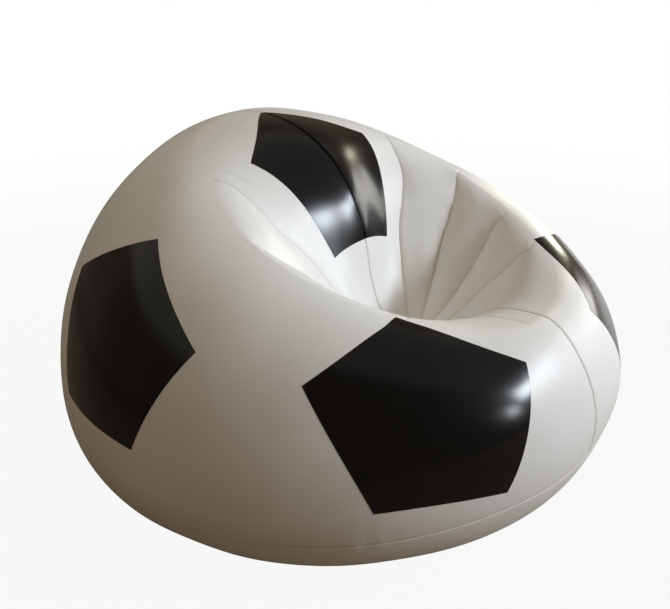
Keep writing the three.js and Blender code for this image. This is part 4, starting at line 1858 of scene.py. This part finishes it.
@dataclass(frozen=True)
class SealRing:
    """The rubber ring between the neck and the insert's collar."""

    inner: float = 13.35 * MM
    outer: float = 16.15 * MM
    low: float = 4.3 * MM
    high: float = 5.3 * MM
    steps_round: int = 96
    steps_across: int = 20

    def model(self) -> Piece:
        """Models the ring as a flattened torus.

        Returns:
            The piece, in the valve's own frame.
        """
        thickness = (self.outer - self.inner) / 2
        deselect()
        bpy.ops.mesh.primitive_torus_add(
            major_segments=self.steps_round,
            minor_segments=self.steps_across,
            major_radius=self.inner + thickness,
            minor_radius=thickness,
            location=(0, 0, (self.low + self.high) / 2),
        )
        piece = bpy.context.object
        piece.name = "valve_seal_dressed"
        piece.scale = (1, 1, (self.high - self.low) / (2 * thickness))
        bpy.ops.object.transform_apply(location=True, rotation=True, scale=True)
        bpy.ops.object.shade_smooth()
        return piece


@dataclass(frozen=True)
class ValveInsert:
    """The insert that screws into the neck, with a grip collar and a sleeve.

    Attributes:
        thread_shares: Where a thread's crest starts and ends and its flank ends, as shares of the pitch.
        notches: How many grip notches the collar has.
        notch: Their radius.
        notch_steps: The steps round a notch.
        recess: How deep the collar's face is sunk.
        recess_share: Where the sunk face starts, as a share of the collar.
        lip: The widths of the lip round the bore, at its foot and at its top.
        steps_round: The steps round the insert.
        rounding: How far its edges are rounded.
    """

    collar: float = 18.5 * MM
    collar_low: float = 5.6 * MM
    collar_top: float = 8.6 * MM
    sleeve: float = 12.6 * MM
    bore: float = 10.2 * MM
    bottom: float = -12.0 * MM
    thread_depth: float = 0.35 * MM
    thread_pitch: float = 3.0 * MM
    thread_top: float = 2.5 * MM
    thread_shares: Triple = (0.15, 0.35, 0.5)
    notches: int = 10
    notch: float = 1.4 * MM
    notch_steps: int = 24
    recess: float = 0.35 * MM
    recess_share: float = 0.9
    lip: Pair = (1.3 * MM, 0.9 * MM)
    steps_round: int = 120
    rounding: float = 0.18 * MM

    def profile(self) -> list[Pair]:
        """Radius and height round the insert, with its thread drawn as plain rings.

        Returns:
            The closed outline.
        """
        crest, root = self.sleeve, self.sleeve - self.thread_depth
        points = [(self.bore, self.bottom), (root, self.bottom)]
        start, end, foot = (share * self.thread_pitch for share in self.thread_shares)
        height = self.bottom + self.thread_pitch / 2
        while height + self.thread_pitch / 2 < self.thread_top:
            points += [(root, height), (crest, height + start), (crest, height + end), (root, height + foot)]
            height += self.thread_pitch
        inside = self.collar * self.recess_share
        sunk = self.collar_top - self.recess
        lip_foot, lip_top = self.lip
        points += [(root, self.collar_low), (self.collar, self.collar_low), (self.collar, self.collar_top)]
        points += [(inside, self.collar_top), (inside - self.recess, sunk), (self.bore + lip_foot, sunk)]
        return points + [(self.bore + lip_top, self.collar_top), (self.bore, self.collar_top)]

    def model(self) -> Piece:
        """Models the insert and cuts its grip notches.

        Returns:
            The piece, in the valve's own frame.
        """
        piece = turned("valve_insert_dressed", self.profile(), segments=self.steps_round)
        depth, middle = 2 * (self.collar_top - self.collar_low), (self.collar_top + self.collar_low) / 2
        for notch in range(self.notches):
            angle = 2 * math.pi * notch / self.notches
            place = (self.collar * math.cos(angle), self.collar * math.sin(angle), middle)
            deselect()
            bpy.ops.mesh.primitive_cylinder_add(
                vertices=self.notch_steps, radius=self.notch, depth=depth, location=place
            )
            combine(piece, bpy.context.object, "DIFFERENCE")
        round_edges(piece, self.rounding)
        return piece


@dataclass(frozen=True)
class ValveFlap:
    """The one-way flap at the sleeve's inner end.

    Attributes:
        rib: The height of the ring on its inner face.
        rib_shares: Where the ring's foot, top and far foot lie, as shares of the radius.
        rounding: How far its edges are rounded.
    """

    radius: float = 11.5 * MM
    low: float = -13.1 * MM
    high: float = -12.3 * MM
    rib: float = 0.3 * MM
    rib_shares: Quad = (0.45, 0.5, 0.62, 0.67)
    rounding: float = 0.12 * MM

    def model(self) -> Piece:
        """Models the flap with a low ring on its inner face.

        Returns:
            The piece, in the valve's own frame.
        """
        foot, start, end, far_foot = (share * self.radius for share in self.rib_shares)
        profile = [
            (foot, self.low),
            (start, self.low - self.rib),
            (end, self.low - self.rib),
            (far_foot, self.low),
            (self.radius, self.low),
            (self.radius, self.high),
            (foot, self.high),
        ]
        piece = turned("valve_flap_dressed", profile, solid=True)
        round_edges(piece, self.rounding)
        return piece


@dataclass(frozen=True)
class ValveCap:
    """The plug cap with its tongue, which bends at the strap's riser.

    Attributes:
        hollow: The thickness of the hollow plug's wall.
        hollow_floor: The height of the hollow's floor over the disc's underside, at its rim.
        hollow_dome: How much further in and up the floor's flat middle lies.
        tongue_step: How far over the disc's underside the tongue lies.
        tongue_share: Where the tongue starts, as a share of the disc.
        dish: How deep the disc's face is dished.
        dish_shares: Where the dish's slopes start and end, as shares of the disc.
        knob_share: How deep the raised middle still lies, as a share of the dish's depth.
        rounding: How far its edges are rounded.
    """

    disc: float = 14.0 * MM
    low: float = 8.9 * MM
    top: float = 10.9 * MM
    plug_top: float = 9.9 * MM
    plug_end: float = 8.6 * MM
    plug_low: float = 4.9 * MM
    hollow: float = 1.6 * MM
    hollow_floor: float = 0.2 * MM
    hollow_dome: Pair = (1.0 * MM, 0.4 * MM)
    tongue_reach: float = 20.9 * MM
    tongue_width: float = 7.0 * MM
    tongue_thickness: float = 1.2 * MM
    tongue_step: float = 0.1 * MM
    tongue_share: float = 0.93
    dish: float = 0.45 * MM
    dish_shares: Quad = (0.86, 0.8, 0.3, 0.24)
    knob_share: float = 0.4
    rounding: float = 0.2 * MM

    def model(self) -> Piece:
        """Models the cap: a dished disc, a hollow tapered plug and the tongue.

        Returns:
            The piece, in the valve's own frame.
        """
        inside = self.plug_end - self.hollow
        dome_in, dome_up = self.hollow_dome
        edge, start, end, knob = (share * self.disc for share in self.dish_shares)
        profile = [
            (inside - dome_in, self.low + self.hollow_floor + dome_up),
            (inside, self.low + self.hollow_floor),
            (inside, self.plug_low),
            (self.plug_end, self.plug_low),
            (self.plug_top, self.low),
            (self.disc, self.low),
            (self.disc, self.top),
            (edge, self.top),
            (start, self.top - self.dish),
            (end, self.top - self.dish),
            (knob, self.top - self.dish * self.knob_share),
        ]
        piece = turned("valve_cap_dressed", profile, solid=True)
        half, under = self.tongue_width / 2, self.low + self.tongue_step
        high = (-self.disc * self.tongue_share, half, under + self.tongue_thickness)
        combine(piece, block("tongue", (-self.tongue_reach, -half, under), high), "UNION")
        round_edges(piece, self.rounding)
        return piece


@dataclass(frozen=True)
class StrapRing:
    """The loose ring under the collar that keeps the cap, with the riser that its tongue hangs on.

    Attributes:
        lug_share: Where the lug starts, as a share of the ring's outside.
        rounding: How far its edges are rounded.
    """

    inner: float = 16.8 * MM
    outer: float = 20.5 * MM
    low: float = 0.3 * MM
    high: float = 1.5 * MM
    riser_in: float = 21.2 * MM
    riser_out: float = 22.4 * MM
    riser_top: float = 8.5 * MM
    width: float = 7.0 * MM
    lug_share: float = 0.94
    rounding: float = 0.2 * MM

    def model(self) -> Piece:
        """Models the ring, its lug and its riser.

        Returns:
            The piece, in the valve's own frame.
        """
        profile = [
            (self.inner, self.low),
            (self.outer, self.low),
            (self.outer, self.high),
            (self.inner, self.high),
        ]
        piece = turned("valve_strap_dressed", profile)
        half = self.width / 2
        low = (-self.riser_out, -half, self.low)
        combine(piece, block("lug", low, (-self.outer * self.lug_share, half, self.high)), "UNION")
        combine(piece, block("riser", low, (-self.riser_in, half, self.riser_top)), "UNION")
        round_edges(piece, self.rounding)
        return piece


@dataclass
class Valve:
    """The whole air valve, modelled in its own frame and set into the skin."""

    place: ValvePlace
    base: ValveBase = field(default_factory=ValveBase)
    seal: SealRing = field(default_factory=SealRing)
    insert: ValveInsert = field(default_factory=ValveInsert)
    flap: ValveFlap = field(default_factory=ValveFlap)
    cap: ValveCap = field(default_factory=ValveCap)
    strap: StrapRing = field(default_factory=StrapRing)

    def build(self, dresser: Dresser) -> None:
        """Models every piece, sets it in place and dresses it."""
        rows = (
            (self.base, Slot.VALVE, "chair", "valve_base"),
            (self.seal, Slot.SEAL, "chair", "valve_seal_ring"),
            (self.insert, Slot.VALVE, "valve_insert", "valve_insert"),
            (self.flap, Slot.VALVE, "valve_flap", "valve_flap"),
            (self.cap, Slot.VALVE, "valve_cap", "valve_cap"),
            (self.strap, Slot.VALVE, "chair", "valve_strap_ring"),
        )
        for part, slot, body, node in rows:
            piece = part.model()
            pick(piece)
            piece.matrix_world = self.place.matrix()
            bpy.ops.object.transform_apply(location=True, rotation=True, scale=True)
            dresser.dress(piece, slot, body, [node])


@dataclass(frozen=True)
class Softbox:
    """An area lamp, placed as seen by the camera.

    Attributes:
        turn: Degrees to the right of the camera's way to the chair, seen from above.
        rise: Degrees above the floor.
        distance: Metres from the place that the camera is aimed at.
        size: Its width and height in metres.
        power: Its power in watts.
    """

    name: str
    turn: float
    rise: float
    distance: float
    size: Pair
    power: float
    colour: Triple


@dataclass
class Studio:
    """The camera, the floor and the soft light.

    Attributes:
        camera_turn: Degrees of the camera round the chair, from its front towards the sitter's left.
        camera_rise: Degrees of the camera over the place that it is aimed at.
        aim_across: How far to the right of the chair's middle it is aimed.
        aim_height: How high it is aimed.
        focal_pixels: The lens's focal length in pixels of the picture.
        sensor: The sensor's width in millimetres.
        floor_half: Half the width of the floor.
        near_glow: How white the floor shows round the chair, against the background.
        glow_reach: The distances between which it turns as white as the background.
        ambient: How strong the surrounding light is.
        background_in_gloss: The share of the white background that gloss shows.
        pool_turn: Where the floor's brighter pool lies, in degrees to the right of the camera's way.
        pool_distance: How far from the chair its middle lies.
        pool_reach: The distances from its middle between which it fades out.
        pool_in_gloss: The share of the white background that gloss shows in that pool.
    """

    camera_turn: float = -51.43
    camera_rise: float = 22.969
    camera_distance: float = 1.535
    aim_across: float = -0.026
    aim_height: float = 0.259
    focal_pixels: float = 791.035
    picture_width: float = 670.0
    sensor: float = 36.0
    floor_half: float = 60.0
    floor_colour: Triple = (0.28, 0.21, 0.14)
    near_glow: float = 0.93
    glow_reach: Pair = (0.9, 3.2)
    ambient: float = 0.13
    ambient_colour: Triple = (1.0, 0.7, 0.42)
    background_in_gloss: float = 0.05
    pool_turn: float = 140.0
    pool_distance: float = 2.4
    pool_reach: Pair = (0.9, 2.4)
    pool_in_gloss: float = 0.9
    softboxes: tuple[Softbox, ...] = (
        Softbox("left_pane", 67.5, 13.0, 7.0, (0.6, 0.7), 36.0, (0.86, 0.94, 1.0)),
        Softbox("middle_pane", 80.5, 19.5, 7.0, (1.6, 0.95), 203.0, (0.86, 0.94, 1.0)),
        Softbox("right_pane", 95.5, 20.0, 7.0, (1.8, 1.1), 172.0, (0.8, 0.88, 1.0)),
        Softbox("wall", 125.0, 9.0, 7.0, (3.0, 1.8), 82.0, (1.0, 0.98, 0.94)),
        Softbox("lamp", 148.3, 12.5, 7.0, (0.8, 1.1), 62.0, (1.0, 0.95, 0.74)),
        Softbox("ceiling", 95.0, 72.0, 3.0, (4.4, 4.2), 12.2, (1.0, 1.0, 0.97)),
        Softbox("left_wall", -80.0, 66.0, 3.2, (3.8, 3.8), 19.0, (1.0, 0.97, 0.83)),
        Softbox("room", -150.0, 30.0, 3.2, (1.8, 1.8), 4.0, (1.0, 0.96, 0.9)),
    )

    @staticmethod
    def aimed(name: str, data: bpy.types.ID, place: Vector, back: Vector) -> Piece:
        """Puts a camera or a lamp at a place, with its back to a way.

        Args:
            name: Its name.
            data: The camera or lamp.
            place: Where it stands.
            back: The way that its back faces.

        Returns:
            Its object.
        """
        made = placed(name, data)
        made.location = place
        made.rotation_mode = "QUATERNION"
        made.rotation_quaternion = (-back).to_track_quat("-Z", "Y")
        return made

    def add_camera(self) -> None:
        """Adds the camera at the photograph's viewing angle."""
        data = bpy.data.cameras.new("camera")
        data.sensor_width = self.sensor
        data.lens = self.sensor * self.focal_pixels / self.picture_width
        back = heading(self.camera_turn, self.camera_rise)
        aim = heading(self.camera_turn + 90.0) * self.aim_across + Vector((0, 0, self.aim_height))
        bpy.context.scene.camera = self.aimed("camera", data, aim + back * self.camera_distance, back)

    def add_lamps(self) -> None:
        """Adds the softboxes, each turned to the chair."""
        aim = Vector((0, 0, self.aim_height))
        for box in self.softboxes:
            data = bpy.data.lights.new(box.name, "AREA")
            data.shape = "RECTANGLE"
            data.size, data.size_y = box.size
            data.energy = box.power
            data.color = box.colour
            back = heading(self.camera_turn + box.turn, box.rise)
            self.aimed(box.name, data, aim + back * box.distance, back)

    def seen(self, tree: Tree, gloss: Socket | float) -> Socket:
        """How much of the white background a ray meets: all of it straight on, a share of it in gloss.

        Args:
            tree: The node tree.
            gloss: The share that gloss shows.

        Returns:
            The share.
        """
        ray = add_node(tree, "ShaderNodeLightPath").outputs
        direct = add_maths(tree, "MAXIMUM", ray["Is Camera Ray"], ray["Is Transmission Ray"])
        glossy = add_maths(tree, "MULTIPLY", ray["Is Glossy Ray"], gloss)
        return add_maths(tree, "MAXIMUM", direct, glossy)

    def pool(self, tree: Tree, place: Socket) -> Socket:
        """The share of white that gloss shows at each place of the floor, most of it in one pool.

        Args:
            tree: The floor's node tree.
            place: The place on the floor.

        Returns:
            The share.
        """
        centre = heading(self.camera_turn + self.pool_turn) * self.pool_distance
        shares = (self.pool_in_gloss, self.background_in_gloss)
        return self.spread(tree, place, centre, self.pool_reach, shares)

    @staticmethod
    def spread(tree: Tree, place: Socket, centre: Vector, reach: Pair, shares: Pair) -> Socket:
        """A share that changes smoothly with the distance from a centre, between two distances.

        Args:
            tree: The node tree.
            place: The place.
            centre: The centre.
            reach: The two distances.
            shares: The shares at them.

        Returns:
            The share at the place.
        """
        away = add_node(tree, "ShaderNodeVectorMath", operation="DISTANCE")
        tree.links.new(place, away.inputs[0])
        away.inputs[1].default_value = centre
        (near, far), (first, last) = reach, shares
        share = add_node(
            tree,
            "ShaderNodeMapRange",
            interpolation_type="SMOOTHSTEP",
            Value=away.outputs["Value"],
            From_Min=near,
            From_Max=far,
            To_Min=first,
            To_Max=last,
        )
        return share.outputs["Result"]

    def add_floor(self) -> None:
        """Adds the pale floor, which keeps the chair's shadow."""
        deselect()
        bpy.ops.mesh.primitive_plane_add(size=2 * self.floor_half, location=(0, 0, 0))
        floor = bpy.context.object
        floor.name = "floor"
        made = bpy.data.materials.new("pale_floor")
        tree = fresh_tree(made)
        lit = add_node(tree, "ShaderNodeBsdfDiffuse", Color=(*self.floor_colour, 1.0))
        glow = add_node(tree, "ShaderNodeEmission", Color=WHITE, Strength=1.0)
        place = add_node(tree, "ShaderNodeTexCoord").outputs["Object"]
        share = self.spread(tree, place, Vector(), self.glow_reach, (self.near_glow, 1.0))
        shown = add_maths(tree, "MULTIPLY", self.seen(tree, self.pool(tree, place)), share)
        self.blend(tree, shown, lit, glow, "ShaderNodeOutputMaterial")
        floor.data.materials.append(made)
        floor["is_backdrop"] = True

    def add_world(self) -> None:
        """Adds the soft surrounding light, white where it shows."""
        world = bpy.data.worlds.new("studio")
        bpy.context.scene.world = world
        tree = fresh_tree(world)
        dim = (*self.ambient_colour, 1.0)
        soft = add_node(tree, "ShaderNodeBackground", Color=dim, Strength=self.ambient)
        shown = add_node(tree, "ShaderNodeBackground", Color=WHITE, Strength=1.0)
        self.blend(tree, self.seen(tree, self.background_in_gloss), soft, shown, "ShaderNodeOutputWorld")

    @staticmethod
    def blend(
        tree: Tree,
        share: Socket,
        first: Node,
        second: Node,
        end: str,
    ) -> None:
        """Mixes two shaders, by a share of the second, into an output node of a kind.

        Args:
            tree: The node tree.
            share: The share of the second.
            first: The first shader.
            second: The second shader.
            end: The output node's kind.
        """
        mixed = add_node(tree, "ShaderNodeMixShader")
        for socket, source in zip(mixed.inputs, (share, first.outputs[0], second.outputs[0])):
            tree.links.new(source, socket)
        add_node(tree, end, Surface=mixed.outputs[0])

    def build(self) -> None:
        """Sets up the whole studio."""
        bpy.context.scene.view_settings.view_transform = "Standard"
        self.add_camera()
        self.add_lamps()
        self.add_floor()
        self.add_world()


def main() -> None:
    """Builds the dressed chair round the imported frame."""
    logging.basicConfig(level=logging.INFO, format="%(name)s: %(message)s")
    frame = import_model()
    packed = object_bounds()
    Studio().build()
    effects = Effects()
    finishes = {
        Slot.SKIN: SKIN_FINISH,
        Slot.PRINT: PRINT_FINISH,
        Slot.WEB: WEB_FINISH,
        Slot.VALVE: VALVE_FINISH,
        Slot.SEAL: SEAL_FINISH,
    }
    dresser = Dresser({slot: finish.material(effects) for slot, finish in finishes.items()})
    for name, node in frame["nodes"].items():
        row = next(part for part in frame["record"]["subparts"] if part["node"] == name)
        node.data.materials.clear()
        node.data.materials.append(dresser.materials[Slot(row["material_slot"])])
    size = packed[1] - packed[0]
    relief = Relief(ChairForm(width=size.x, depth=size.y))
    skin = Skin(relief, ValvePlace.of(frame["joints"]))
    skin.build(dresser)
    BottomPanel(skin).build(dresser)
    SeatPatch(skin).build(dresser)
    Pentagons(skin).build(dresser)
    Valve(skin.valve).build(dresser)


if __name__ == "__main__":
    main()
